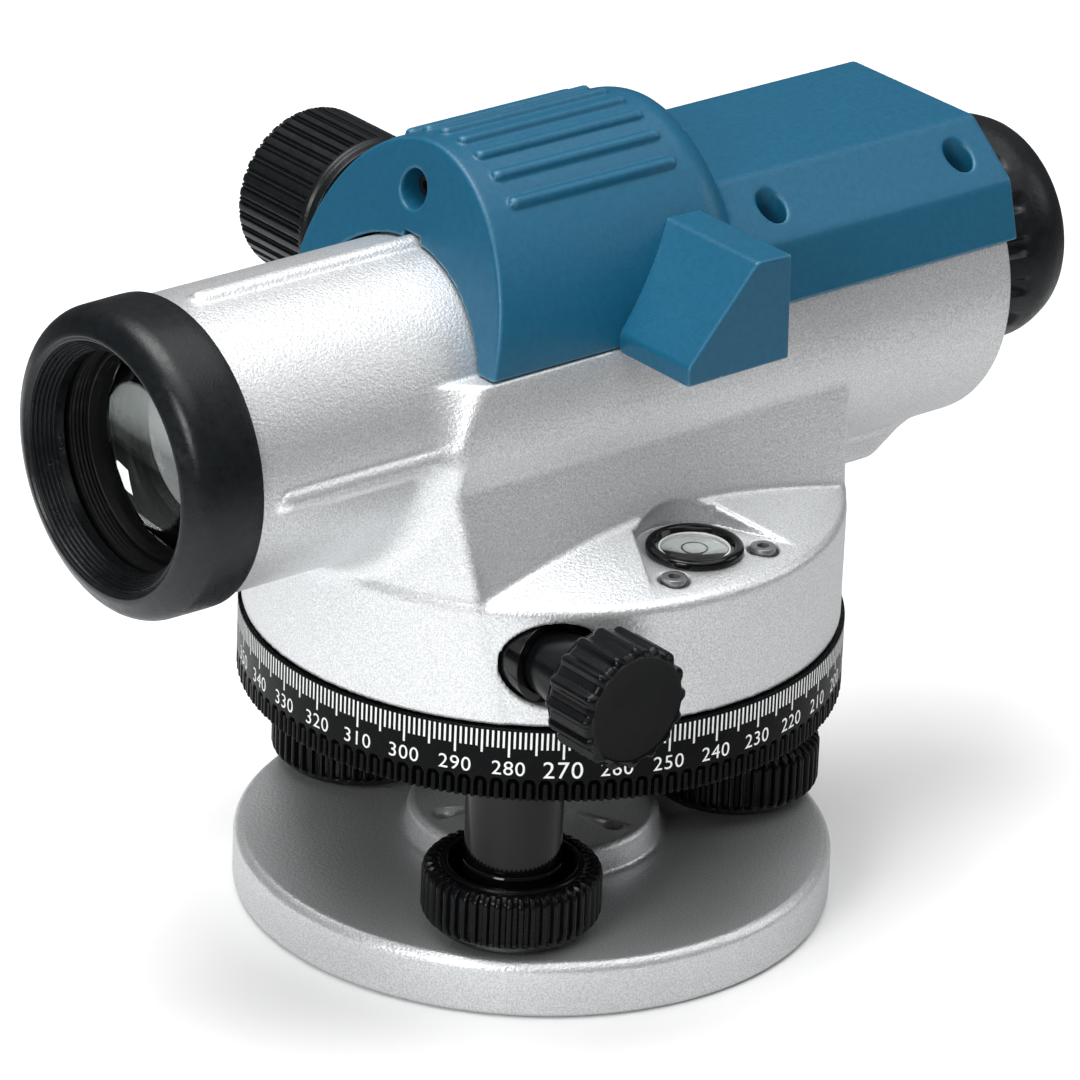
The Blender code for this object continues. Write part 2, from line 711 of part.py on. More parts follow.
def build_mirror_hood(look):
    """A wedge-shaped shell, open below and behind, over the mirror that shows the bubble."""
    hood = prism_along_y("mirror_hood", HOOD_OUTLINE, HOOD_OUTER, HOOD_INNER, look)
    inside = [(6.6, 133.4), (20.0, 133.4), (20.0, 110.0), (-7.2, 110.0), (-7.2, 117.9)]
    cut(hood, prism_along_y("hood_inside", inside, HOOD_OUTER + 1.6, MIRROR_INNER + 0.4, look))
    low = PARTING_HEIGHT - 10.0
    sections = [standing(hump_section(-HOOD_GAP, low), x) for x in (-20.0, 30.0)]
    cut(hood, lofted("hood_hump_clearance", sections, look))
    clear = BARREL_RADIUS + GAP
    telescope = (0, 0, AXIS_HEIGHT)
    cut(hood, cylinder("hood_barrel_clearance", clear, -20.0, 30.0, look, 48, telescope, ALONG_X))
    add_bevel(hood, 0.4)


def build_bubble_mirror(look):
    outline = [(-6.3, 117.9), (6.9, 132.8), (8.0, 131.9), (-5.2, 117.0)]
    prism_along_y("bubble_mirror", outline, HOOD_OUTER + 2.0, MIRROR_INNER, look)


# ---------------------------------------------------------------- objective

HOOD_REAR = -82.7
HOOD_FRONT = -96.5


def build_objective_hood(look):
    profile = (
        (26.5, HOOD_REAR),
        (27.4, HOOD_REAR),
        (27.2, HOOD_REAR - 8.0),
        (26.3, HOOD_REAR - 11.5),
        (24.6, HOOD_REAR - 13.4),
        (23.4, HOOD_FRONT),
        (22.2, HOOD_FRONT + 0.2),
        (20.6, HOOD_FRONT + 2.2),
        (19.4, HOOD_FRONT + 3.6),
        (19.4, TUBE_FRONT - GAP),
        (26.5, TUBE_FRONT - GAP),
    )
    turned("objective_hood", profile, look, 36, (0, 0, AXIS_HEIGHT), ALONG_X, closed=True)


def build_objective(looks):
    axis = (0, 0, AXIS_HEIGHT)
    cell = (
        (TUBE_BORE - GAP, -89.0),
        (TUBE_BORE - GAP, -66.0),
        (17.0, -66.0),
        (17.0, -68.5),
        (19.6, -68.5),
        (19.6, -89.0),
    )
    turned("objective_cell", cell, looks["dark"], 32, axis, ALONG_X, closed=True)
    ring = ((19.3, -86.5), (19.3, -82.5), (17.8, -82.5), (17.8, -86.5))
    turned("lens_retaining_ring", ring, looks["dark"], 32, axis, ALONG_X, closed=True)
    crown = ((0, -84.6), (9.0, -83.9), (17.4, -81.9), (19.2, -81.9), (19.2, -76.6), (9.0, -74.8), (0, -74.2))
    turned("objective_crown_lens", crown, looks["glass"], 24, axis, ALONG_X)
    flint = ((0, -73.8), (9.0, -74.4), (19.2, -76.2), (19.2, -69.0), (9.0, -70.2), (0, -70.4))
    turned("objective_flint_lens", flint, looks["glass"], 24, axis, ALONG_X)


# ---------------------------------------------------------------- focusing


def build_focus_knob(look):
    ribs = 16
    count = ribs * 2
    rings = [
        circle_ring(2.4, 35.5, count),
        circle_ring(13.2, 35.5, count),
        circle_ring(13.9, 33.4, count),
        circle_ring(14.7, 33.4, count),
        circle_ring(14.9, 37.0, count),
        lobed_ring(FOCUS_KNOB_RADIUS, 0.5, ribs, 37.8),
        lobed_ring(FOCUS_KNOB_RADIUS, 0.5, ribs, 53.4),
        circle_ring(FOCUS_KNOB_RADIUS - 1.2, 55.0, count),
        [(0.0, 0.0, 55.0)],
    ]
    rings.insert(0, circle_ring(2.4, 50.6, count))
    rings.insert(0, [(0.0, 0.0, 50.6)])
    lofted("focus_knob", rings, look, (FOCUS_X, 0, FOCUS_HEIGHT), ALONG_Y)


def build_focus_pinion(look):
    teeth = 12
    count = teeth * 2
    rings = [
        [(0.0, 0.0, 11.0)],
        circle_ring(2.0, 11.0, count),
        circle_ring(2.0, 12.0, count),
        lobed_ring(PINION_RADIUS, 0.7, teeth, 12.0),
        lobed_ring(PINION_RADIUS, 0.7, teeth, 17.5),
        circle_ring(2.0, 17.5, count),
        circle_ring(2.0, 50.3, count),
        [(0.0, 0.0, 50.3)],
    ]
    lofted("focus_pinion", rings, look, (FOCUS_X, 0, FOCUS_HEIGHT), ALONG_Y)


def build_focus_cell(look):
    axis = (0, 0, AXIS_HEIGHT)
    ring = ((8.6, -24.0), (10.5, -24.0), (10.5, -12.0), (8.6, -12.0))
    cell = turned("focus_cell", ring, look, 24, axis, ALONG_X, closed=True)
    rack_top = FOCUS_HEIGHT - PINION_RADIUS - GAP
    rack = [(9.2, 110.0), (18.3, 110.0), (18.3, rack_top), (12.0, rack_top), (9.2, 113.0)]
    join(cell, prism_along_x("rack", rack, -38.0, 12.0, look))
    arm = [(4.0, 110.6), (10.5, 110.6), (10.5, 113.0), (4.0, 113.0)]
    join(cell, prism_along_x("rack_arm", arm, -23.0, -13.0, look))
    cut(cell, cylinder("cell_bore", 8.6, -40.0, 20.0, look, 24, axis, ALONG_X))


def build_focusing_lens(look):
    profile = ((0, -19.6), (5.0, -20.0), (8.3, -21.2), (8.3, -15.0), (5.0, -16.2), (0, -16.6))
    turned("focusing_lens", profile, look, 16, (0, 0, AXIS_HEIGHT), ALONG_X)


# ---------------------------------------------------------------- compensator

PENDULUM_X = 42.0
PENDULUM_HEIGHT = 122.5


def build_compensator_frame(look):
    frame = box("compensator_frame", (28, -12.8, 82.6), (56, 12.8, 85.0), look)
    for side in (-1, 1):
        low, high = sorted((side * 10.8, side * 12.8))
        name = f"frame_upright_{'near' if side < 0 else 'far'}"
        join(frame, box(name, (35, low, 84.0), (49, high, 126.5), look))
    join(frame, box("frame_bridge", (35, -12.0, 125.0), (49, 12.0, 128.5), look))
    join(frame, box("prism_seat", (50.5, -6.0, 84.0), (56.0, 6.0, 96.7), look))


def build_roof_prism(look):
    outline = [(49.6, 97.0), (57.6, 97.0), (57.6, 113.0), (49.6, 105.0)]
    prism_along_y("roof_prism", outline, -7.0, 7.0, look)


def build_pendulum(looks):
    """Two light arms and a tray that hang from the bridge and carry the swinging prism."""
    x = PENDULUM_X
    tray = box("pendulum_arm", (x - 5, -9.6, 92.0), (x + 5, 9.6, 94.0), looks["dark"])
    for side in (-1, 1):
        low, high = sorted((side * 8.2, side * 9.6))
        name = f"pendulum_strip_{'near' if side < 0 else 'far'}"
        join(tray, box(name, (x - 2, low, 93.0), (x + 2, high, PENDULUM_HEIGHT), looks["dark"]))
    low, high = PENDULUM_HEIGHT - 2.0, PENDULUM_HEIGHT + 1.5
    join(tray, box("pendulum_bar", (x - 2, -9.0, low), (x + 2, 9.0, high), looks["dark"]))
    join(tray, box("pendulum_tail", (x - 1, -3.0, 89.5), (x + 1, 3.0, 92.5), looks["dark"]))
    outline = [(x - 4.6, 94.3), (x + 4.6, 94.3), (x, 104.0)]
    prism_along_y("pendulum_prism", outline, -7.4, 7.4, looks["glass"])


def build_damper_magnet(look):
    """A horseshoe magnet whose gap brakes the pendulum's tail."""
    low, slot, high = 85.3, 88.0, 91.2
    outline = [(34, low), (50, low), (50, high), (45, high), (45, slot), (39, slot), (39, high), (34, high)]
    prism_along_y("damper_magnet", outline, -4.0, 4.0, look)


# ---------------------------------------------------------------- eyepiece


def build_reticle(looks):
    axis = (0, 0, AXIS_HEIGHT)
    cell = ((11.0, 62.0), (11.0, 67.0), (7.0, 67.0), (7.0, 65.0), (6.0, 65.0), (6.0, 62.0))
    turned("reticle_cell", cell, looks["brass"], 20, axis, ALONG_X, closed=True)
    cylinder("reticle_plate", 6.7, 65.3, 66.8, looks["glass"], 16, axis, ALONG_X)


def build_eyepiece(looks):
    axis = (0, 0, AXIS_HEIGHT)
    barrel = ((12.1, 60.0), (12.1, 98.0), (9.6, 98.0), (9.6, 69.0), (11.3, 69.0), (11.3, 60.0))
    turned("eyepiece_barrel", barrel, looks["dark"], 24, axis, ALONG_X, closed=True)
    guard = (
        (12.5, 83.4),
        (17.2, 83.4),
        (19.2, 85.0),
        (20.6, 92.0),
        (21.2, 99.5),
        (18.6, 105.0),
        (15.5, 106.2),
        (11.0, 106.2),
        (6.6, 102.6),
        (6.6, 99.0),
        (12.5, 99.0),
    )
    turned("eye_guard", guard, looks["rubber"], 28, axis, ALONG_X, closed=True)
    lens = ((0, 99.2), (6.2, 99.2), (6.2, 100.6), (3.5, 101.6), (0, 102.0))
    turned("eye_lens", lens, looks["glass"], 16, axis, ALONG_X)


# ---------------------------------------------------------------- circular bubble

BUBBLE_SCREWS = ((-8.6, -45.7), (12.2, -44.7))


def build_bubble(looks):
    place = (BUBBLE_X, BUBBLE_Y, 0)
    ring = (
        (7.0, 75.6),
        (7.0, BUBBLE_FLOOR + GAP),
        (8.5, BUBBLE_FLOOR + GAP),
        (8.5, 81.0),
        (7.7, 81.6),
        (6.4, 81.6),
        (6.1, 81.2),
        (6.1, 77.4),
        (5.0, 77.4),
        (5.0, 75.6),
    )
    turned("bubble_housing", ring, looks["plastic"], 16, place, closed=True)
    vial = ((0, 77.7), (5.8, 77.7), (5.8, 80.4), (4.0, 80.9), (0, 81.1))
    turned("bubble_vial", vial, looks["glass"], 20, place)
    screw = ((0, 76.0), (1.2, 76.0), (1.2, 78.6), (2.3, 78.6), (2.3, 80.1), (0, 80.1))
    for index, (x, y) in enumerate(BUBBLE_SCREWS):
        turned(f"bubble_screw_{index + 1}", screw, looks["steel"], 10, (x, y, 0))


# ---------------------------------------------------------------- vertical axis and fine drive


def build_vertical_axis(looks):
    shaft = (
        (0, 36.8),
        (4.0, 36.8),
        (4.0, 40.0),
        (SHAFT_RADIUS, 41.0),
        (SHAFT_RADIUS, HUB_TOP + GAP),
        (16.0, HUB_TOP + GAP),
        (16.0, CEILING - GAP),
        (0, CEILING - GAP),
    )
    turned("vertical_spindle", shaft, looks["steel"], 24)
    nut = ((9.5, 36.2), (9.5, TRIBRACH_LOW - GAP), (4.3, TRIBRACH_LOW - GAP), (4.3, 36.2))
    turned("spindle_nut", nut, looks["steel"], 16, closed=True)


def build_drive_shaft(look):
    profile = (
        (0, -58.0),
        (2.4, -58.0),
        (2.4, -8.0),
        (WORM_RADIUS, -7.0),
        (WORM_RADIUS, 7.0),
        (2.4, 8.0),
        (2.4, 58.0),
        (0, 58.0),
    )
    turned("drive_shaft", profile, look, 12, (DRIVE_X, 0, DRIVE_HEIGHT), ALONG_Y)


def build_drive_knob(side, look):
    """A lobed knob with a dished face and a long neck into the skirt."""
    lobes = 12
    count = lobes * 2
    back = DRIVE_KNOB_FACE - 11.9
    rings = [
        [(0.0, 0.0, 58.4)],
        circle_ring(2.7, 58.4, count),
        circle_ring(2.7, 38.0, count),
        circle_ring(5.3, 38.0, count),
        circle_ring(6.4, back, count),
        circle_ring(DRIVE_KNOB_RADIUS - 0.6, back, count),
        lobed_ring(DRIVE_KNOB_RADIUS, 0.8, lobes, back + 1.0),
        lobed_ring(DRIVE_KNOB_RADIUS, 0.8, lobes, DRIVE_KNOB_FACE - 1.0),
        circle_ring(DRIVE_KNOB_RADIUS - 1.5, DRIVE_KNOB_FACE, count),
        circle_ring(5.0, DRIVE_KNOB_FACE - 1.2, count),
        [(0.0, 0.0, DRIVE_KNOB_FACE - 1.5)],
    ]
    turn = ALONG_NEAR_Y if side == "near" else ALONG_Y
    lofted(f"drive_knob_{side}", rings, look, (DRIVE_X, 0, DRIVE_HEIGHT), turn)


def build_drive_bush(side, look):
    profile = ((7.6, 33.0), (7.6, 40.5), (6.0, 40.5), (6.0, 33.0))
    turn = ALONG_NEAR_Y if side == "near" else ALONG_Y
    turned(f"drive_bush_{side}", profile, look, 20, (DRIVE_X, 0, DRIVE_HEIGHT), turn, closed=True)


def build_drive_group(looks):
    build_drive_shaft(looks["steel"])
    for side in ("near", "far"):
        build_drive_knob(side, looks["plastic"])
        build_drive_bush(side, looks["plastic"])


# ---------------------------------------------------------------- assembly


def build_telescope_group(looks):
    build_housing(looks["silver"])
    build_cover(looks["blue"])
    build_cover_screws(looks["steel"])
    build_mirror_hood(looks["blue"])
    build_bubble_mirror(looks["mirror"])
    build_objective_hood(looks["rubber"])
    build_objective(looks)
    build_focus_knob(looks["rubber"])
    build_focus_pinion(looks["brass"])
    build_focus_cell(looks["dark"])
    build_focusing_lens(looks["glass"])
    build_compensator_frame(looks["dark"])
    build_roof_prism(looks["glass"])
    build_pendulum(looks)
    build_damper_magnet(looks["steel"])
    build_reticle(looks)
    build_eyepiece(looks)
    build_bubble(looks)


def stand_on_middle():
    """Moves every piece and cutter so that the origin is the middle of the whole length."""
    for piece in bpy.context.scene.objects:
        piece.location.x += AXIS_X * MM


def main():
    for old in list(bpy.data.objects):
        bpy.data.objects.remove(old)
    looks = make_materials()
    build_base_group(looks)
    build_tribrach_group(looks)
    build_telescope_group(looks)
    build_vertical_axis(looks)
    build_drive_group(looks)
    stand_on_middle()


main()
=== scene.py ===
"""The looks of the automatic level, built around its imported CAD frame.

Every length below is in millimetres and is measured from the instrument's vertical axis, with +Z up,
the objective at -X and the eyepiece at +X. Pieces are built there and then moved with the axis.
Shapes that were cast or moulded in one piece are distance fields, meshed by Blender's own OpenVDB
module; turned pieces are lathed from profiles with rounded corners.
"""

import functools
import math

import bmesh
import bpy
import numpy as np
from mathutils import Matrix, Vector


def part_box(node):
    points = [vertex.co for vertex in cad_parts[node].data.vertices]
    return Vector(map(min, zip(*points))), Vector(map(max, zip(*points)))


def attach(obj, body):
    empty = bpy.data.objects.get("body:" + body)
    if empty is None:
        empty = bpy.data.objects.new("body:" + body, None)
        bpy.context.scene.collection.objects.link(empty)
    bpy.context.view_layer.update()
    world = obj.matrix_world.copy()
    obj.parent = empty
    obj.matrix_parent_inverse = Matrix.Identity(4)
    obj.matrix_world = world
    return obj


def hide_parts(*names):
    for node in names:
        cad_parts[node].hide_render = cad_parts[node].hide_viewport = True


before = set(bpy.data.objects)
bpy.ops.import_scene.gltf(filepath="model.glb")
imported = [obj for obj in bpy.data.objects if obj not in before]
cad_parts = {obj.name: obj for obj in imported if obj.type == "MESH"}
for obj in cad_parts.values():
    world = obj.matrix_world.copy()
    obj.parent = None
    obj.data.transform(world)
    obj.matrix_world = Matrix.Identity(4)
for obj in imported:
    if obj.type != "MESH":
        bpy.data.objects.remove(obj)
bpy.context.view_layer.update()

import openvdb
from mathutils import Matrix, Vector

MM = 0.001
SAME_POINT = 1e-7
SHARP_ANGLE = math.radians(30.0)


# ---- measures taken from the frame


def span(node):
    """A CAD node's lowest and highest corners, in millimetres in the frame's own axes."""
    low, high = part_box(node)
    return np.array(low) / MM, np.array(high) / MM


AXIS_X = float(sum(span("horizontal_circle"))[0] / 2)


def low_of(node, axis):
    return float(span(node)[0]["xyz".index(axis)]) - (AXIS_X if axis == "x" else 0.0)


def high_of(node, axis):
    return float(span(node)[1]["xyz".index(axis)]) - (AXIS_X if axis == "x" else 0.0)


def middle_of(node):
    return np.array([(low_of(node, axis) + high_of(node, axis)) / 2 for axis in "xyz"])


BASE_RADIUS = high_of("base_plate", "y")
BOSS_TOP = high_of("base_plate", "z")
CIRCLE_BOTTOM = low_of("horizontal_circle", "z")
CIRCLE_TOP = high_of("horizontal_circle", "z")
CIRCLE_RADIUS = high_of("horizontal_circle", "y")
TUBE_FRONT = low_of("housing", "x")
BARREL_END = high_of("housing", "x")
TELESCOPE_HEIGHT = float(middle_of("objective_hood")[2])
PARTING = low_of("top_cover", "z")
COVER_END = high_of("top_cover", "x")
SKIRT_BOTTOM = low_of("housing", "z")
DRIVE = middle_of("drive_shaft")
FOCUS = middle_of("focus_knob")
BUBBLE = middle_of("bubble_housing")


# ---- mesh tools


def add_to_scene(name, data):
    item = bpy.data.objects.new(name, data)
    bpy.context.scene.collection.objects.link(item)
    return item


def add_object(name, points, faces, look, body, replaced=None, merge=0.0, crisp=True):
    """A mesh from millimetre points that rides on a CAD body, smooth between its sharp edges if crisp."""
    material, usual_slot = LOOKS[look]
    data = bpy.data.meshes.new(name)
    data.from_pydata((np.asarray(points, np.float64) * MM).tolist(), [], faces)
    data.materials.append(material)
    if merge:
        tidy_mesh(data, merge)
    data.shade_smooth()
    if crisp:
        data.set_sharp_from_angle(angle=SHARP_ANGLE)
    piece = add_to_scene(name, data)
    piece.location.x = AXIS_X * MM
    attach(piece, body)
    if replaced:
        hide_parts(replaced)
    return piece


def tidy_mesh(data, merge):
    """Joins points within merge metres of each other and turns every face outwards."""
    mesh = bmesh.new()
    mesh.from_mesh(data)
    bmesh.ops.remove_doubles(mesh, verts=mesh.verts, dist=merge)
    bmesh.ops.recalc_face_normals(mesh, faces=mesh.faces)
    mesh.to_mesh(data)
    mesh.free()


def grid_faces(rows, columns, wrap_rows):
    """Quads over a grid of points whose columns always wrap round."""
    row, column = np.meshgrid(np.arange(rows if wrap_rows else rows - 1), np.arange(columns), indexing="ij")
    below, beside = (row + 1) % rows, (column + 1) % columns
    corners = ((row, column), (row, beside), (below, beside), (below, column))
    return np.stack([r * columns + c for r, c in corners], -1).reshape(-1, 4).tolist()


def rounded(corners, closed=True, steps=5):
    """(across, along, fillet) corners turned into points, each fillet as a short curve."""
    points = []
    count = len(corners)
    for i, (across, along, fillet) in enumerate(corners):
        here = np.array((across, along), float)
        if not fillet or (not closed and i in (0, count - 1)):
            points.append(here)
            continue
        before = np.array(corners[i - 1][:2], float) - here
        after = np.array(corners[(i + 1) % count][:2], float) - here
        reach = min(fillet, 0.48 * np.linalg.norm(before), 0.48 * np.linalg.norm(after))
        start = here + before / np.linalg.norm(before) * reach
        end = here + after / np.linalg.norm(after) * reach
        for t in np.linspace(0, 1, steps + 1):
            points.append(start * (1 - t) ** 2 + here * 2 * t * (1 - t) + end * t**2)
    return np.array(points)


def split_long(points, longest, closed):
    """Adds points along the long stretches of a profile, so that a relief has rows to bend."""
    out = []
    ends = np.roll(points, -1, axis=0)
    last = len(points) if closed else len(points) - 1
    for i in range(last):
        count = max(1, math.ceil(np.linalg.norm(ends[i] - points[i]) / longest))
        out += [points[i] + (ends[i] - points[i]) * t / count for t in range(count)]
    if not closed:
        out.append(points[-1])
    return np.array(out)


def stand(x, y, z, axis):
    """Turns shapes built about local Z so that they point along the named axis."""
    turned = {"X": (z, y, -x), "-X": (-z, y, x), "Y": (x, z, -y), "-Y": (x, -z, y), "Z": (x, y, z)}
    return turned[axis]


def lathe_points(profile, columns, centre, axis, relief=None):
    angle = np.arange(columns) * 2 * math.pi / columns
    radius = np.repeat(profile[:, :1], columns, axis=1)
    along = np.repeat(profile[:, 1:], columns, axis=1)
    if relief:
        radius = relief(radius, along, angle[None, :])
    local = (radius * np.cos(angle), radius * np.sin(angle), along)
    return np.stack(stand(*local, axis), -1).reshape(-1, 3) + np.asarray(centre, float)


def lathe(name, corners, look, body, replaced=None, columns=160, centre=(0, 0, 0), axis="Z",
          relief=None, longest=None, steps=5):
    """A turned piece with rounded corners; relief may change the radius with angle and height.

    A profile that starts on the axis runs open to the axis again, and any other closes on itself.
    """
    closed = corners[0][0] > 0
    profile = rounded(corners, closed, steps)
    if longest:
        profile = split_long(profile, longest, closed)
    points = lathe_points(profile, columns, centre, axis, relief)
    faces = grid_faces(len(profile), columns, closed)
    return add_object(name, points, faces, look, body, replaced, SAME_POINT)


def ease(value, low, high):
    """0 below low, 1 above high and smooth between."""
    t = np.clip((value - low) / (high - low), 0.0, 1.0)
    return t * t * (3 - 2 * t)


def groove(angle, number, share, soft=0.25):
    """1 in each of a number of equal grooves round a turn, 0 on the lands; share is a groove's width."""
    phase = np.abs((angle * number / (2 * math.pi)) % 1.0 - 0.5) * 2
    return 1 - ease(phase, share * (1 - soft), share * (1 + soft))


def between(value, low, high, soft):
    """1 from low to high and 0 outside, fading over soft on each side of both ends."""
    return ease(value, low - soft, low + soft) * (1 - ease(value, high - soft, high + soft))


# ---- distance fields


def soft_union(a, b, blend):
    share = np.clip(0.5 + 0.5 * (b - a) / blend, 0, 1)
    return b + (a - b) * share - blend * share * (1 - share)


def soft_common(a, b, blend):
    return -soft_union(-a, -b, blend)


def round_common(a, b, radius):
    """The common part of two solids, with a true round of this radius where they meet."""
    u, v = a + radius, b + radius
    outside = np.hypot(np.maximum(u, 0), np.maximum(v, 0))
    return outside + np.minimum(np.maximum(u, v), 0) - radius


def carve(solid, hole, blend=0.0):
    return soft_common(solid, -hole, blend) if blend else np.maximum(solid, -hole)


def capsule(x, y, z, start, end, radius):
    """A rod with round ends from start to end."""
    start, way = np.array(start, float), np.array(end, float) - np.array(start, float)
    dx, dy, dz = x - start[0], y - start[1], z - start[2]
    t = np.clip((dx * way[0] + dy * way[1] + dz * way[2]) / way.dot(way), 0, 1)
    miss = (dx - t * way[0]) ** 2 + (dy - t * way[1]) ** 2 + (dz - t * way[2]) ** 2
    return np.sqrt(miss) - radius


def shaft(u, v, place, radius):
    """An endless round rod or hole, as a field of the two coordinates across it."""
    return np.hypot(u - place[0], v - place[1]) - radius


def from_sight_line(y, z):
    """The distance from the telescope's axis."""
    return np.hypot(y, z - TELESCOPE_HEIGHT)


def convex_outline(u, v, corners, join=np.maximum, closed=True):
    """A convex outline, given anticlockwise, as a field of two coordinates; join makes its corners."""
    field = None
    for (u0, v0), (u1, v1) in zip(corners, corners[1:] + corners[:1] * closed):
        length = math.hypot(u1 - u0, v1 - v0)
        side = ((u - u0) * (v1 - v0) - (v - v0) * (u1 - u0)) / length
        field = side if field is None else join(field, side)
    return field


def lowest(fields):
    """Several solids as one."""
    return functools.reduce(np.minimum, fields)


def sample(values, places):
    """Trilinear values of a grid at places in grid steps."""
    top = np.array(values.shape) - 1.001
    places = np.clip(places, 0, top)
    cell = places.astype(int)
    part = places - cell
    total = 0.0
    for corner in range(8):
        step = np.array([corner & 1, corner >> 1 & 1, corner >> 2 & 1])
        weight = np.prod(np.where(step, part, 1 - part), axis=1)
        i, j, k = (cell + step).T
        total = total + weight * values[i, j, k]
    return total


PULLS = 2
STEADY_SLOPE = 0.4
WELD_SHARE = 0.2


def field_piece(name, field, low, high, step, look, body, replaced):
    """Meshes a distance field between two corners and pulls its points onto the surface."""
    axes = [np.arange(a, b + step, step, dtype=np.float32) for a, b in zip(low, high)]
    x, y, z = np.meshgrid(*axes, indexing="ij", sparse=True)
    values = np.ascontiguousarray(field(x, y, z), np.float32)
    grid = openvdb.FloatGrid(4.0)
    grid.copyFromArray(values)
    places, triangles, quads = grid.convertToPolygons(isovalue=0.0, adaptivity=0.0)
    places = places.astype(np.float64)
    for _ in range(PULLS):
        here = sample(values, places)
        slope = []
        for axis in range(3):
            shift = np.zeros(3)
            shift[axis] = 0.5
            slope.append(sample(values, places + shift) - sample(values, places - shift))
        slope = np.stack(slope, 1)
        size = np.maximum((slope**2).sum(1), (STEADY_SLOPE * step) ** 2)
        places -= np.clip(here / size, -0.5, 0.5)[:, None] * slope
    points = places * step + np.array(low)
    faces = quads[:, ::-1].tolist() + triangles[:, ::-1].tolist()
    add_object(name, points, faces, look, body, replaced, merge=WELD_SHARE * step * MM, crisp=False)



# ---- materials


# Pointiness range of the sharp edges that turn lighter: wear on plastics and metals, a painted highlight on
# the paints.
EDGE_WEAR_AND_HIGHLIGHT_RANGE = (0.52, 0.62)


class Recipe:
    """A node material: a Principled shader and small helpers that add texture nodes to it."""

    def __init__(self, name, **values):
        self.material = bpy.data.materials.new(name)
        self.material.use_nodes = True
        self.nodes = self.material.node_tree.nodes
        self.links = self.material.node_tree.links
        self.shader = self.nodes["Principled BSDF"]
        self.place = self.nodes.new("ShaderNodeTexCoord").outputs["Object"]
        for key, value in values.items():
            self.shader.inputs[key.replace("_", " ")].default_value = value

    def link(self, source, target):
        self.links.new(source, self.shader.inputs[target])

    def noise(self, size, detail=3.0, rough=0.55, stretch=(1, 1, 1)):
        """Noise whose features are about size millimetres across."""
        scaled = self.nodes.new("ShaderNodeVectorMath")
        scaled.operation = "MULTIPLY"
        scaled.inputs[1].default_value = stretch
        self.links.new(self.place, scaled.inputs[0])
        node = self.nodes.new("ShaderNodeTexNoise")
        node.inputs["Scale"].default_value = 1.0 / (size * MM)
        node.inputs["Detail"].default_value = detail
        node.inputs["Roughness"].default_value = rough
        self.links.new(scaled.outputs[0], node.inputs["Vector"])
        return node.outputs["Fac"]

    def levels(self, source, low, high, to_low, to_high):
        node = self.nodes.new("ShaderNodeMapRange")
        self.links.new(source, node.inputs["Value"])
        set_levels(node, low, high, to_low, to_high)
        return node.outputs["Result"]

    def mix(self, share, first, second):
        node = self.nodes.new("ShaderNodeMix")
        node.data_type = "RGBA"
        for value, key in ((share, 0), (first, 6), (second, 7)):
            if isinstance(value, (int, float)):
                node.inputs[key].default_value = value
            elif isinstance(value, (tuple, list)):
                node.inputs[key].default_value = (*value, 1.0)
            else:
                self.links.new(value, node.inputs[key])
        return node.outputs[2]

    def patches(self, size, low, high, most, first, second):
        """The first colour, with patches about size millimetres across of up to so much of the second."""
        return self.mix(self.levels(self.noise(size), low, high, 0.0, most), first, second)

    def worn(self, colour, most, edge_colour):
        """The colour, turning at most so much to a lighter colour on sharp outer edges: wear on the
        plastics and metals, a painted highlight on the silver and blue paints.
        """
        node = self.nodes.new("ShaderNodeNewGeometry")
        return self.mix(self.levels(node.outputs["Pointiness"], *EDGE_WEAR_AND_HIGHLIGHT_RANGE, 0.0, most), colour, edge_colour)

    def colour(self, source):
        self.link(source, "Base Color")

    def gloss(self, source, low, high, smoothest, roughest):
        """Roughness that follows a texture."""
        self.link(self.levels(source, low, high, smoothest, roughest), "Roughness")

    def bump(self, source, depth):
        """Adds relief of this depth in millimetres, on top of any added before."""
        node = self.nodes.new("ShaderNodeBump")
        node.inputs["Distance"].default_value = depth * MM
        node.inputs["Strength"].default_value = 1.0
        self.links.new(source, node.inputs["Height"])
        normal = self.shader.inputs["Normal"]
        if normal.is_linked:
            self.links.new(normal.links[0].from_socket, node.inputs["Normal"])
        self.links.new(node.outputs[0], normal)


def set_levels(node, low, high, to_low, to_high):
    """Sets the two ranges of a Map Range node."""
    for key, value in zip(("From Min", "From Max", "To Min", "To Max"), (low, high, to_low, to_high)):
        node.inputs[key].default_value = value


def silver_paint():
    """Cast alloy under pebbled silver paint, with bright flakes and a painted highlight on its sharp edges.
    """
    r = Recipe("silver_paint", Metallic=0.72, Specular_IOR_Level=0.5)
    flakes = r.levels(r.noise(0.3, 1.0), 0.38, 0.62, 0.0, 1.0)
    colour = r.mix(flakes, (0.60, 0.612, 0.62), (0.80, 0.812, 0.82))
    # painted highlight: the sharp edges turn nearly white
    r.colour(r.worn(colour, 0.6, (0.90, 0.90, 0.90)))
    r.gloss(r.noise(0.5), 0.3, 0.7, 0.33, 0.43)
    r.bump(r.noise(0.55, 2.0), 0.11)
    r.bump(r.noise(0.25, 1.0), 0.012)
    return r.material


def blue_paint():
    """Fine-textured satin blue, with a painted highlight that lightens its sharp edges."""
    r = Recipe("blue_paint", Metallic=0.0, Specular_IOR_Level=0.38)
    colour = r.patches(1.2, 0.3, 0.7, 1.0, (0.0035, 0.072, 0.137), (0.0048, 0.085, 0.157))
    # painted highlight: the sharp edges turn a lighter blue
    r.colour(r.worn(colour, 0.6, (0.16, 0.42, 0.58)))
    r.gloss(r.noise(0.8), 0.3, 0.7, 0.34, 0.44)
    r.bump(r.noise(0.5, 1.5), 0.040)
    return r.material


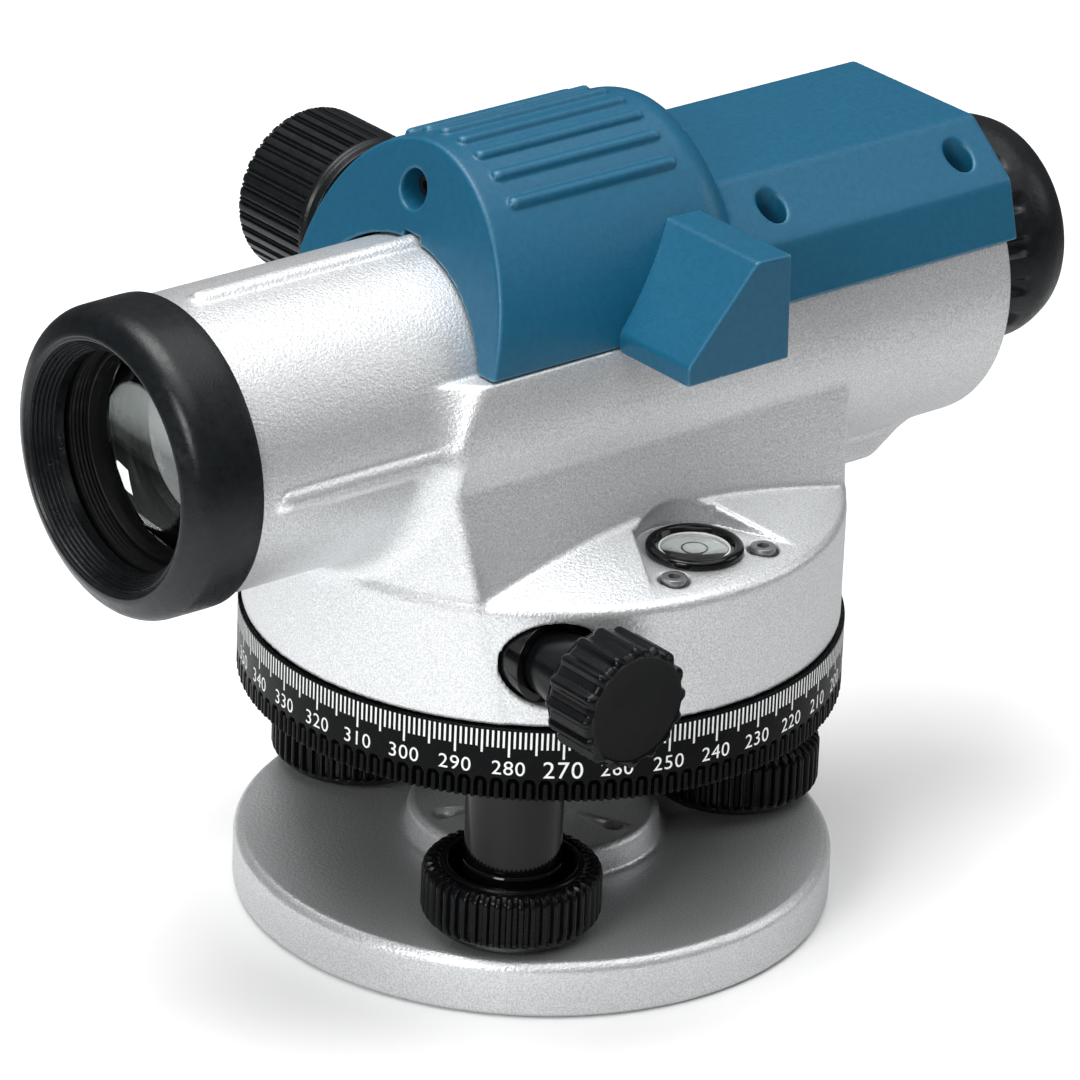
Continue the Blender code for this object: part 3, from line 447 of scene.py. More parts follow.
def moulded(name, colour, roughness, grain, depth, spread=0.12, shine=0.12):
    """Moulded plastic or rubber: a fine grain, patchy gloss and scuffed outer edges."""
    r = Recipe(name, Metallic=0.0, Specular_IOR_Level=shine)
    lighter = tuple(c * 1.7 + 0.001 for c in colour)
    shade = r.patches(2.0, 0.35, 0.7, 0.6, colour, lighter)
    r.colour(r.worn(shade, 0.35, (0.025, 0.025, 0.027)))
    r.gloss(r.noise(1.5), 0.3, 0.7, roughness - spread / 2, roughness + spread / 2)
    r.bump(r.noise(grain, 2.0), depth)
    return r.material


def turned_metal(name, colour, roughness, metallic=1.0):
    """Machined metal: fine turning marks, faint stains and brighter edges."""
    r = Recipe(name, Metallic=metallic)
    stained = tuple(c * 0.62 for c in colour)
    edge_colour = tuple(min(1.0, c * 1.4 + 0.04) for c in colour)
    r.colour(r.worn(r.patches(5.0, 0.35, 0.75, 0.5, colour, stained), 0.4, edge_colour))
    marks = r.noise(0.25, 2.0, 0.6, stretch=(1, 1, 6))
    r.gloss(marks, 0.3, 0.7, roughness - 0.08, roughness + 0.1)
    r.bump(marks, 0.004)
    return r.material


def optical_glass(name, tint, coat_colour=(1.0, 1.0, 1.0), index=1.52):
    """Clear coated glass with a trace of dust."""
    r = Recipe(name, Transmission_Weight=1.0, IOR=index, Specular_Tint=(*coat_colour, 1.0))
    r.colour(r.patches(12.0, 0.3, 0.8, 0.3, tint, tuple(c * 0.95 for c in tint)))
    r.gloss(r.noise(1.4, 4.0), 0.55, 0.85, 0.0, 0.05)
    r.bump(r.noise(20.0, 1.0), 0.002)
    return r.material


def mirror_face():
    """Silvered glass, a little cloudy."""
    r = Recipe("silvered_mirror", Metallic=1.0)
    r.colour(r.patches(8.0, 0.4, 0.8, 0.3, (0.86, 0.87, 0.88), (0.78, 0.8, 0.82)))
    r.gloss(r.noise(2.0, 4.0), 0.5, 0.85, 0.02, 0.09)
    r.bump(r.noise(15.0, 1.0), 0.002)
    return r.material


def white_ink():
    """Printed white that has worn a little thin in places."""
    r = Recipe("scale_ink")
    r.colour(r.patches(0.6, 0.4, 0.75, 0.5, (0.80, 0.81, 0.81), (0.62, 0.63, 0.63)))
    r.gloss(r.noise(0.8), 0.3, 0.7, 0.42, 0.6)
    r.bump(r.noise(0.3, 1.0), 0.006)
    return r.material


def vial_back():
    """The pale backing seen through the vial's liquid."""
    r = Recipe("vial_back")
    r.colour(r.patches(2.0, 0.3, 0.7, 1.0, (0.90, 0.93, 0.90), (0.84, 0.88, 0.84)))
    r.gloss(r.noise(1.0), 0.3, 0.7, 0.25, 0.35)
    r.bump(r.noise(0.4), 0.004)
    return r.material


def black(name, colour, *values, slot="black_plastic", **more):
    """A black moulded look and the slot it belongs to."""
    return moulded(name, colour, *values, **more), slot


# Each look: its material and the record's slot that it belongs to.
LOOKS = {
    "silver": (silver_paint(), "silver"),
    "blue": (blue_paint(), "blue"),
    "plastic": black("black_plastic", (0.0020, 0.0022, 0.0026), 0.22, 0.5, 0.012, shine=0.13),
    "gloss": black("glossy_black_plastic", (0.0018, 0.0018, 0.0022), 0.10, 0.8, 0.003, 0.06, 0.26),
    "dial": black("dial_black", (0.0016, 0.0018, 0.0022), 0.28, 0.4, 0.008, shine=0.07),
    "rubber": black(
        "black_rubber", (0.004, 0.0052, 0.006), 0.31, 0.5, 0.030, shine=0.28, slot="black_rubber"),
    "soft_rubber": black(
        "mottled_rubber", (0.005, 0.006, 0.007), 0.34, 1.0, 0.06, 0.16, 0.24, slot="black_rubber"),
    "dark": (turned_metal("blackened_metal", (0.010, 0.010, 0.011), 0.42, metallic=0.6), "blackened"),
    "flat_black": black("flat_black", (0.004, 0.004, 0.004), 0.6, 0.35, 0.02, slot="blackened"),
    "steel": (turned_metal("steel", (0.56, 0.56, 0.57), 0.30), "steel"),
    "dull_steel": (turned_metal("dull_steel", (0.30, 0.30, 0.31), 0.38), "steel"),
    "brass": (turned_metal("brass", (0.62, 0.44, 0.17), 0.33), "brass"),
    "glass": (optical_glass("clear_glass", (0.97, 0.985, 0.98)), "glass"),
    "coated": (optical_glass("coated_glass", (0.96, 0.985, 0.97), (0.93, 1.0, 0.98), 1.9), "glass"),
    "mirror": (mirror_face(), "mirror"),
    "ink": (white_ink(), "silver"),
    "vial_back": (vial_back(), "glass"),
}


# ---- base

FOOT_COUNT = 3


def upright_axis(node):
    """Where a node's middle stands, seen from above."""
    x, y, _ = middle_of(node)
    return (x, y, 0.0)


def foot_place(index):
    return upright_axis(f"foot_seat_{index + 1}")


def build_base_plate():
    """The round foot plate: a soft outer rim, a raised boss and six drilled holes."""
    thread, hub, recess = 7.94, 13.0, 47.0
    boss, top, underside = 22.7, 10.8, 3.2
    corners = [
        (hub, 0.0, 0.6), (thread, 0.0, 0.5), (thread, BOSS_TOP, 0.8), (boss - 1.1, BOSS_TOP, 0.8),
        (boss, BOSS_TOP - 1.1, 0.9), (boss + 0.3, top + 0.6, 1.0), (boss + 1.4, top, 0.9),
        (BASE_RADIUS - 1.3, top, 0.7), (BASE_RADIUS, top - 1.3, 0.9), (BASE_RADIUS, 1.0, 0.8),
        (BASE_RADIUS - 1.0, 0.0, 0.8),
        (recess, 0.0, 0.6), (recess, underside, 0.8), (hub, underside, 0.8),
    ]
    plate = lathe("base_plate_cast", corners, "silver", "base", "base_plate", 220)
    bore_holes(plate)


def bore_holes(plate):
    """Clear holes for the three ball ends and for the three screws that hold the spring plate."""
    for index in range(FOOT_COUNT):
        drill(plate, foot_place(index), 7.0, -2.0, 14.0)
        drill(plate, upright_axis(f"spring_plate_screw_{index + 1}"), 1.9, -2.0, 20.0)


def drill(piece, place, radius, low, high, sides=48):
    """A Boolean hole, applied at once so that the piece keeps its own mesh and no cutter is left."""
    profile = np.array([(0.0, low), (radius, low), (radius, high), (0.0, high)])
    points = lathe_points(profile, sides, place, "Z")
    data = bpy.data.meshes.new("drill")
    data.from_pydata((points * MM).tolist(), [], grid_faces(len(profile), sides, False))
    tidy_mesh(data, SAME_POINT)
    cutter = add_to_scene("drill", data)
    cutter.location.x = AXIS_X * MM
    modifier = piece.modifiers.new("drill", "BOOLEAN")
    modifier.operation = "DIFFERENCE"
    modifier.object = cutter
    bpy.context.view_layer.update()
    evaluated = piece.evaluated_get(bpy.context.evaluated_depsgraph_get())
    result = bpy.data.meshes.new_from_object(evaluated)
    piece.modifiers.remove(modifier)
    piece.data = result
    bpy.data.objects.remove(cutter)


def build_foot_knob(index):
    """A knob with deep U grooves, a chamfered foot, a raised inner ring and its threaded spindle."""
    radius, low, high, floor = 15.9, 12.3, 23.9, 18.0
    spindle, spindle_top, grooves = 3.0, 40.0, 47
    corners = [
        (0.0, low, 0), (radius - 2.3, low, 0.7), (radius - 0.9, low + 1.5, 0.5),
        (radius - 0.25, low + 2.1, 0.4), (radius, low + 3.0, 0.3), (radius, high - 1.5, 0.9),
        (radius - 1.5, high - 0.15, 0.8), (radius - 3.1, high - 0.5, 0.3), (12.5, high - 0.6, 0.3),
        (12.2, high - 0.1, 0.25), (11.3, high - 0.1, 0.3),
        (10.6, floor, 0.5), (spindle, floor, 0.4), (spindle, spindle_top, 0.4), (0.0, spindle_top, 0),
    ]

    def relief(radii, along, angle):
        side = between(along, low + 2.2, high + 1.0, 0.35) * ease(radii, radius - 3.2, radius - 1.6)
        return radii - 0.85 * groove(angle, grooves, 0.52, 0.45) * side

    lathe(f"foot_knob_{index + 1}", corners, "plastic", f"foot_screw_{index + 1}",
          f"foot_screw_{index + 1}", grooves * 12, foot_place(index), relief=relief, longest=0.5)


def build_foot_sleeve(index):
    """The glossy tube that covers the foot screw's thread."""
    node = f"foot_sleeve_{index + 1}"
    low, high = low_of(node, "z"), high_of(node, "z")
    radius, bore, bore_top = 8.6, 3.4, 43.5
    corners = [
        (0.0, high, 0), (radius, high, 0.3), (radius, low + 3.2, 0.2), (radius + 0.25, low + 2.8, 0.2),
        (radius + 0.25, low + 1.0, 0.3), (radius - 0.5, low, 0.4), (bore, low, 0.3), (bore, bore_top, 0),
        (0.0, bore_top, 0),
    ]
    lathe(f"foot_sleeve_tube_{index + 1}", corners, "gloss", "tribrach", node, 96, foot_place(index))


def build_tribrach():
    """The plate that the foot screws carry, with the hub of the vertical axis on top."""
    low, high, outer, hub = low_of("tribrach_body", "z"), 45.7, 49.9, 17.0
    shoulder, neck, top, bore = 64.6, 14.0, 70.0, 9.0
    corners = [
        (bore, low, 0.3), (outer - 3.0, low, 1.0), (outer, low + 3.0, 1.0), (outer, high, 0.4),
        (hub, high, 1.2), (hub, shoulder, 0.4), (neck, shoulder, 0.3), (neck, top, 0.5), (bore, top, 0.4),
    ]
    body = lathe("tribrach_casting", corners, "dark", "tribrach", "tribrach_body", 180)
    for index in range(FOOT_COUNT):
        drill(body, foot_place(index), 8.9, 30.0, 60.0)


# ---- horizontal circle

SLOT_COUNT = 120
TICK_TOP = CIRCLE_TOP - 0.4
FIGURE_MIDDLE = 48.6
PRINT_RADIUS = CIRCLE_RADIUS + 0.03
CAPITAL_SHARE = 0.729  # a digit's height over its font size
ZERO_ANGLE = math.radians(145.58)


def build_circle():
    """The graduated ring: a smooth band for the scale above a row of arched finger slots."""
    bottom, top, radius = CIRCLE_BOTTOM, CIRCLE_TOP, CIRCLE_RADIUS
    inner, flange, under, over = 50.4, 44.0, 46.1, 48.5
    corners = [
        (radius, top, 0.25), (radius, bottom, 0.35), (inner, bottom, 0.3), (inner, under, 0.2),
        (flange, under, 0.3), (flange, over, 0.3), (inner, over, 0.2), (inner, top, 0.2),
    ]
    arch_top, half, bar = 46.5, 0.95, 0.55

    def relief(radii, along, angle):
        pitch = 2 * math.pi * radius / SLOT_COUNT
        across = np.abs((angle * SLOT_COUNT / (2 * math.pi)) % 1.0 - 0.5) * pitch
        above = np.maximum(along - (arch_top - half), 0.0)
        reach = np.hypot(across, above)
        slot = 1 - ease(reach, half - 0.16, half + 0.16)
        rod = (1 - ease(np.hypot(across, above * 1.2), bar - 0.25, bar + 0.2)) * 0.9
        outer = ease(radii, radius - 0.9, radius - 0.2)
        return radii - 1.1 * slot * (1 - rod) * outer

    lathe("circle_ring", corners, "dial", "horizontal_circle", "horizontal_circle",
          SLOT_COUNT * 14, relief=relief, longest=0.3)


def wrap(across, up, angle, height, radius):
    """Bends flat marks round the ring's outer face; across is rightwards to someone who reads it."""
    turn = angle + across / radius
    return np.stack((radius * np.cos(turn), radius * np.sin(turn), height + up + 0 * turn), -1)


def tick_length(degree):
    """Long at every tenth degree, shorter at every fifth and shortest between."""
    if degree % 10 == 0:
        return 4.9
    return 4.3 if degree % 5 == 0 else 3.2


def build_ticks():
    """One printed line for every degree, longer at each fifth and tenth."""
    points, faces = [], []
    half, columns = 0.19, 4
    for degree in range(360):
        start = len(points)
        angle = ZERO_ANGLE - math.radians(degree)
        long = tick_length(degree)
        for up in (-long, 0.0):
            across = np.linspace(-half, half, columns)
            points += wrap(across, up, angle, TICK_TOP, PRINT_RADIUS).tolist()
        for i in range(columns - 1):
            faces.append((start + i, start + i + 1, start + columns + i + 1, start + columns + i))
    add_object("circle_ticks", points, faces, "ink", "horizontal_circle")


def text_mesh(label, size):
    """A label's filled outline as flat points and faces in millimetres, centred on its own middle."""
    curve = bpy.data.curves.new("label", "FONT")
    curve.body = label
    curve.size = size
    curve.resolution_u = 5
    curve.space_character = 1.08
    holder = add_to_scene("label", curve)
    bpy.context.view_layer.update()
    data = bpy.data.meshes.new_from_object(holder.evaluated_get(bpy.context.evaluated_depsgraph_get()))
    points = np.array([v.co for v in data.vertices])
    faces = [tuple(p.vertices) for p in data.polygons]
    points -= (points.min(0) + points.max(0)) / 2
    bpy.data.objects.remove(holder)
    bpy.data.meshes.remove(data)
    return points, faces


def build_figures():
    """The numbers every ten degrees; the quarters are a little larger."""
    points, faces = [], []
    for degree in range(0, 360, 10):
        height = 3.3 if degree % 90 == 0 else 2.75
        flat, outline = text_mesh(str(degree), height / CAPITAL_SHARE)
        start = len(points)
        angle = ZERO_ANGLE - math.radians(degree)
        points += wrap(flat[:, 0], flat[:, 1], angle, FIGURE_MIDDLE, PRINT_RADIUS).tolist()
        faces += [tuple(start + i for i in face) for face in outline]
    add_object("circle_figures", points, faces, "ink", "horizontal_circle")


# ---- housing

SKIRT_RADIUS = 53.2
SHELF_HEIGHT = 78.2
SHELF_SLOPE = 0.3
TUBE_RADIUS = 26.2
BARREL_RADIUS = 30.5
CREASE_HEIGHT = 98.0
CREASE_HALF = 29.7
FRONT_RADIUS = 53.0
POCKET_FLOOR = 79.5
POCKET_FLARE = [(-15.5, -50.0), (-12.0, -58.0), (16.0, -58.0), (19.5, -50.0), (11.0, -33.0), (-7.5, -33.0)]
BUBBLE_WELL = 7.4
DRIVE_BORE = 7.94


def front_reach(z):
    """The radius about the vertical axis of the body's rounded front, drawing in as it rises."""
    return FRONT_RADIUS - np.maximum(z - 102.0, 0.0) ** 2 / 35.0


def body_field(x, y, z):
    """Skirt, drafted walls and barrel, before the tube joins them."""
    rho = np.hypot(x, y)
    reach = from_sight_line(y, z)
    shelf = (z - SHELF_HEIGHT - SHELF_SLOPE * (SKIRT_RADIUS - rho)) * 0.958
    skirt = round_common(rho - SKIRT_RADIUS, shelf, 1.3)
    low_half = 33.5 - 2.2 * (x + 41.0) / 84.0
    share = (z - SHELF_HEIGHT) / (CREASE_HEIGHT - SHELF_HEIGHT)
    wall = (np.abs(y) - (low_half + (CREASE_HALF - low_half) * share)) * 0.985
    front = rho - front_reach(z)
    block = round_common(wall, np.maximum(front, z - 104.0), 0.9)
    barrel = round_common(reach - BARREL_RADIUS, x - BARREL_END, 0.8)
    barrel = np.where(x < 0, round_common(barrel, front, 0.9), barrel)
    upper = soft_union(block, barrel, 0.3)
    return soft_union(upper, skirt, 1.2)


def keel_field(x, y, z):
    """The shallow flat-bottomed pad under the rear of the barrel."""
    outline = [(40.0, 84.0), (40.0, 72.6), (64.0, 72.6), (72.0, 78.0), (72.0, 84.0)]
    profile = convex_outline(x, z, outline, lambda a, b: soft_common(a, b, 0.8))
    return round_common(profile, np.abs(y) - 15.0, 1.5)


def tube_field(x, y, z):
    """The objective tube, with a low rib along each side and one on top."""
    reach = from_sight_line(y, z)
    tube = np.maximum(reach - TUBE_RADIUS, np.maximum(TUBE_FRONT - x, x + 28.0))
    for side, front, rear in ((-1, -76.9, -43.4), (0, -76.3, -29.5), (1, -76.9, -43.4)):
        centre = TUBE_RADIUS - 1.1
        place = (side * centre, TELESCOPE_HEIGHT + (centre if side == 0 else -1.4))
        rib = capsule(x, y, z, (front, *place), (rear, *place), 2.4)
        tube = soft_union(tube, rib, 0.25)
    return tube


def pocket_field(x, y, z):
    """The bubble's recess: a flat floor under a dome that bites into the wall, open to the rim."""
    dx, dy, dz = x - BUBBLE[0], y - BUBBLE[1], z - POCKET_FLOOR
    dome = (np.sqrt((dx / 10.9) ** 2 + (dy / 10.9) ** 2 + (dz / 9.0) ** 2) - 1) * 9.5
    flare = convex_outline(x, y, POCKET_FLARE)
    flare = np.maximum(flare, z - POCKET_FLOOR - 9.0)
    return np.maximum(soft_union(dome, flare, 1.0), POCKET_FLOOR - z)


def hollow_field(x, y, z):
    """The space inside: the skirt's well, the two telescope bores and the eyepiece's hole."""
    rho = np.hypot(x, y)
    reach = from_sight_line(y, z)
    well = np.maximum(rho - 49.5, z - 74.0)
    front_bore = np.maximum(reach - 23.6, x + 27.0)
    rear_bore = np.maximum(reach - 27.0, np.maximum(-27.5 - x, x - (BARREL_END - 4.5)))
    eyepiece = np.maximum(reach - 12.4, 60.0 - x)
    return lowest((well, front_bore, rear_bore, eyepiece))


def fittings_field(x, y, z):
    """Holes for the drive, the focus knob, the bubble and its screws, and the spindle."""
    drive = shaft(x, z, DRIVE[::2], DRIVE_BORE)
    spindle = np.maximum(np.hypot(x, y) - 4.0, z - 77.0)
    bubble = np.maximum(shaft(x, y, BUBBLE, BUBBLE_WELL), 75.2 - z)
    holes = [drive, focus_hole(x, y, z), spindle, np.maximum(bubble, z - 85.0)]
    for index in (1, 2):
        screw = shaft(x, y, middle_of(f"bubble_screw_{index}"), 2.85)
        holes.append(np.maximum(screw, np.maximum(75.5 - z, z - 85.0)))
    return lowest(holes)


def focus_hole(x, y, z):
    """The hole on the far side that the focusing knob's spindle goes through."""
    return np.maximum(shaft(x, z, FOCUS[::2], 6.5), 18.0 - y)


def housing_field(x, y, z):
    """The whole casting, cut off flat where the cover sits on it."""
    body = soft_union(body_field(x, y, z), keel_field(x, y, z), 1.5)
    tube = tube_field(x, y, z)
    joined = soft_union(body, tube, 5.0)
    solid = np.minimum(tube, round_common(joined, z - (PARTING - 0.25), 0.35))
    solid = carve(solid, pocket_field(x, y, z), 0.7)
    solid = carve(solid, hollow_field(x, y, z), 0.35)
    solid = carve(solid, fittings_field(x, y, z), 0.5)
    return np.maximum(solid, SKIRT_BOTTOM - z)


def build_housing():
    low = (TUBE_FRONT - 2.0, -56.0, SKIRT_BOTTOM - 2.0)
    high = (BARREL_END + 2.0, 56.0, 134.0)
    field_piece("housing_casting", housing_field, low, high, 0.5, "silver", "head", "housing")


# ---- cover

HUMP_HALF = 28.5
HUMP_RISE = 32.6
HUMP_POWER = 1.9
HUMP_FRONT = -33.5
HUMP_FRONT_HEIGHT = 126.8
HUMP_LEAN = 0.244
HUMP_REAR = 22.0
COVER_WALL = 2.2
ROOF_OUTLINE = ((29.8, 0.0), (27.0, 10.7), (16.2, 19.5))
RIB_COUNT = 8
RIB_STEP = 4.72
RIB_ENDS = (-23.3, 10.9)
RIB_RADIUS = 1.15
RIB_SINK = 0.1
NOSE_WELL = 3.4
COVER_SCREWS = ("near_front", "near_rear", "far_front", "far_rear")


def arch_field(y, z):
    """The hump's section: an arch a little fuller than half an ellipse, on upright feet."""
    across = np.abs(y) / HUMP_HALF
    up = np.maximum(z - PARTING, 0.0) / HUMP_RISE
    total = across**HUMP_POWER + up**HUMP_POWER + 1e-9
    slope_y = HUMP_POWER * across ** (HUMP_POWER - 1) / HUMP_HALF
    slope_z = HUMP_POWER * up ** (HUMP_POWER - 1) / HUMP_RISE
    root = total ** (1 / HUMP_POWER)
    steepness = np.hypot(slope_y, slope_z) * total ** (1 / HUMP_POWER - 1) / HUMP_POWER
    return (root - 1) / np.maximum(steepness, 0.02)


def front_face(x, z):
    """The hump's flat front, which leans back a little."""
    return (HUMP_FRONT + HUMP_LEAN * (z - HUMP_FRONT_HEIGHT) - x) / math.hypot(1, HUMP_LEAN)


def hump_field(x, y, z):
    """The hump over the compensator, crisp in front and well rounded behind."""
    arch = arch_field(y, z) + 0 * x
    hump = round_common(arch, front_face(x, z) + 0 * y, 0.7)
    return round_common(hump, x - HUMP_REAR, 7.5)


def ribs_field(x, y, z):
    """The grip ribs over the hump's top, evenly spaced across it."""
    ribs = []
    for index in range(RIB_COUNT):
        ry = (index - (RIB_COUNT - 1) / 2) * RIB_STEP
        crown = (1 - abs(ry / HUMP_HALF) ** HUMP_POWER) ** (1 / HUMP_POWER)
        rz = PARTING + HUMP_RISE * crown - RIB_SINK
        ribs.append(capsule(x, y, z, (RIB_ENDS[0], ry, rz), (RIB_ENDS[1], ry, rz), RIB_RADIUS))
    return lowest(ribs)


def roof_field(x, y, z):
    """The roof behind the hump: upright feet, a slope and a flat top on each side."""
    outline = [(across, PARTING + up) for across, up in ROOF_OUTLINE]
    outline.append((0.0, outline[-1][1]))
    section = convex_outline(np.abs(y), z, outline, lambda a, b: round_common(a, b, 0.5), closed=False)
    return round_common(section + 0 * x, np.maximum(x - COVER_END, HUMP_REAR - 8.0 - x), 0.5)


def cover_outside(x, y, z):
    return soft_union(hump_field(x, y, z), roof_field(x, y, z), 0.7)


def wells_field(x, y, z):
    """The screw wells: four down through the slopes and one back through the nose."""
    nose = shaft(y, z, middle_of("cover_screw_nose")[1:], NOSE_WELL)
    wells = [shaft(x, y, middle_of(f"cover_screw_{name}"), 2.7) for name in COVER_SCREWS]
    return lowest([np.maximum(nose, x + 12.0), *wells])


def bosses_field(x, y, z):
    """Posts under the cover that the screws go down, so that each well has a wall."""
    nose = shaft(y, z, middle_of("cover_screw_nose")[1:], NOSE_WELL) - 1.6
    posts = [shaft(x, y, middle_of(f"cover_screw_{name}"), 4.2) for name in COVER_SCREWS]
    return lowest([np.maximum(nose, x + 20.0), *(np.maximum(post, 120.5 - z) for post in posts)])


def cover_field(x, y, z):
    """The cover's shell, with its ribs, posts and wells, and the openings for tube, eyepiece and knob."""
    outside = cover_outside(x, y, z)
    reach = from_sight_line(y, z)
    shell = carve(outside, outside + COVER_WALL)
    posts = np.maximum(bosses_field(x, y, z), outside + 0.5)
    shell = np.minimum(shell, posts)
    shell = soft_union(shell, np.maximum(ribs_field(x, y, z), -(outside + 1.5)), 0.2)
    shell = carve(shell, wells_field(x, y, z), 0.6)
    shell = carve(shell, np.maximum(reach - TUBE_RADIUS - 0.45, x + 25.0), 0.3)
    over_tube = z - TELESCOPE_HEIGHT - TUBE_RADIUS - 1.5
    rib_notch = np.maximum(np.abs(y) - 2.2, np.maximum(x + 25.0, over_tube))
    shell = carve(shell, rib_notch, 0.3)
    shell = carve(shell, np.maximum(reach - 12.4, 76.0 - x))
    shell = carve(shell, focus_hole(x, y, z))
    return round_common(shell, PARTING - z, 0.3)


def build_cover():
    low = (-40.0, -33.0, PARTING - 2.0)
    high = (COVER_END + 2.0, 33.0, 152.0)
    field_piece("cover_moulding", cover_field, low, high, 0.38, "blue", "head", "top_cover")


HOOD_OUTER = -47.0
HOOD_OUTLINE = [(5.7, 135.2), (-8.7, 119.0), (-8.6, 115.5), (13.7, 115.7), (13.2, 135.0)]
HOOD_INSIDE = [(6.6, 133.4), (-7.2, 117.9), (-7.2, 100.0), (30.0, 100.0), (30.0, 133.4)]


def hood_field(x, y, z):
    """A wedge-shaped shell, open below and behind, that grows out of the hump's side."""
    outline = convex_outline(x, z, HOOD_OUTLINE, lambda a, b: round_common(a, b, 0.45))
    solid = round_common(outline, HOOD_OUTER - y, 0.5)
    sides = np.maximum(HOOD_OUTER + 1.6 - y, y + 29.2)
    solid = carve(solid, np.maximum(convex_outline(x, z, HOOD_INSIDE), sides), 0.3)
    solid = np.maximum(solid, -(arch_field(y, z) + 0 * x))
    reach = from_sight_line(y, z)
    return np.maximum(solid, BARREL_RADIUS + 0.25 - reach)


def build_hood():
    low, high = (-11.0, -49.0, 113.0), (16.0, -20.0, 138.0)
    field_piece("mirror_hood_moulding", hood_field, low, high, 0.22, "blue", "head", "mirror_hood")


# ---- screws


def socket_screw(node, head, shank, cap, axis="Z", look="dull_steel", sides=6):
    """A cap screw in place of a CAD node, with a deep socket whose flats come from the relief."""
    if axis == "Z":
        top, bottom, centre = high_of(node, "z"), low_of(node, "z"), upright_axis(node)
    else:
        top, bottom, centre = -low_of(node, "x"), -high_of(node, "x"), (0, *middle_of(node)[1:])
    under = top - cap
    socket, depth = head * 0.5, (top - under) * 0.7
    corners = [
        (0.0, top - depth, 0), (socket, top - depth, 0.02), (socket, top, 0.08), (head - 0.05, top, 0.25),
        (head, under, 0.1), (shank, under, 0.05), (shank, bottom, 0.1), (0.0, bottom, 0),
    ]

    def relief(radii, along, angle):
        flat = np.cos(math.pi / sides) / np.cos((angle % (2 * math.pi / sides)) - math.pi / sides)
        inner = 1 - ease(radii, socket * 1.02, socket * 1.2)
        upper = ease(along, under - 0.2, under)
        return radii * (1 + (flat - 1) * inner * upper)

    lathe(node.replace("screw", "cap"), corners, look, "head", node, sides * 12, centre, axis,
          relief, steps=3)


def build_screws():
    for name in COVER_SCREWS:
        socket_screw(f"cover_screw_{name}", 2.3, 1.2, 2.5)
    socket_screw("cover_screw_nose", 2.1, 1.0, 2.0, "-X", "dark")
    for index in (1, 2):
        socket_screw(f"bubble_screw_{index}", 2.3, 1.2, 1.5)


# ---- objective

SIGHT_LINE = (0, 0, TELESCOPE_HEIGHT)


def build_objective_hood():
    """The rubber ring round the objective, with fine steps down its inner slope."""
    rear, front = high_of("objective_hood", "x"), low_of("objective_hood", "x")
    corners = [
        (26.45, rear, 0.2), (27.35, rear, 0.45), (27.4, rear - 2.0, 0.5), (27.3, rear - 10.0, 1.4),
        (26.2, rear - 12.2, 1.2), (23.4, front + 0.1, 0.7), (22.5, front, 0.3), (22.1, front + 0.5, 0.2),
    ]
    step_count, step_in, step_back = 6, 0.42, 0.62
    for i in range(step_count):
        radius = 21.8 - i * step_in
        depth = front + 0.75 + i * step_back
        corners += [(radius, depth - 0.12, 0.08), (radius - 0.12, depth + 0.28, 0.08)]
        corners.append((radius - step_in, depth + 0.1, 0.06))
    corners += [(19.4, front + 4.6, 0.2), (19.4, TUBE_FRONT - 0.3, 0.2), (26.45, TUBE_FRONT - 0.3, 0.2)]
    lathe("objective_rubber", corners, "rubber", "head", "objective_hood", 220, SIGHT_LINE, "X", steps=6)


def build_objective_cell():
    """The lens barrel: matt black, with anti-glare ridges behind the glass and a threaded ring."""
    outer, bore, front, rear = 23.3, 19.6, -89.0, -66.0
    ridge_count, ridge_step = 8, 0.8
    corners = [(outer, front, 0.3), (outer, rear, 0.3), (17.0, rear, 0.2), (17.0, -68.5, 0.2)]
    corners += [(bore, -68.5, 0.2), (bore, -82.0, 0.1)]
    for i in range(ridge_count):
        at = -82.4 - i * ridge_step
        corners += [(bore, at, 0.08), (bore - 0.35, at - 0.3, 0.08), (bore, at - 0.6, 0.08)]
    corners += [(bore, front, 0.2)]
    lathe("objective_cell_tube", corners, "flat_black", "head", "objective_cell", 160, SIGHT_LINE, "X",
          steps=3)
    ring = [(19.15, -86.3, 0.2), (19.15, -82.5, 0.2), (17.9, -82.5, 0.2), (17.6, -84.6, 0.2)]
    ring.append((18.1, -86.3, 0.2))
    lathe("lens_ring", ring, "dark", "head", "lens_retaining_ring", 160, SIGHT_LINE, "X")


def lens_profile(radius, front, front_sag, rear, rear_sag, rows=14):
    """Front centre to rim to rear centre; a positive sag bulges outwards."""
    rings = np.linspace(0.0, 1.0, rows)
    face = [(radius * t, front + front_sag * t * t, 0) for t in rings]
    back = [(radius * t, rear - rear_sag * t * t, 0) for t in rings[::-1]]
    return face + back


def build_lenses():
    """The objective's two lenses and the eye lens."""
    crown = lens_profile(19.1, -84.6, 2.8, -74.3, 2.2)
    lathe("objective_crown", crown, "coated", "head", "objective_crown_lens", 128, SIGHT_LINE, "X")
    flint = lens_profile(19.1, -73.9, -2.2, -70.4, -1.3)
    lathe("objective_flint", flint, "coated", "head", "objective_flint_lens", 128, SIGHT_LINE, "X")
    eye = lens_profile(6.2, 99.3, 0.0, 102.0, 1.6)
    lathe("eye_lens_glass", eye, "coated", "eye_lens", "eye_lens", 64, SIGHT_LINE, "X")


# ---- focus knob


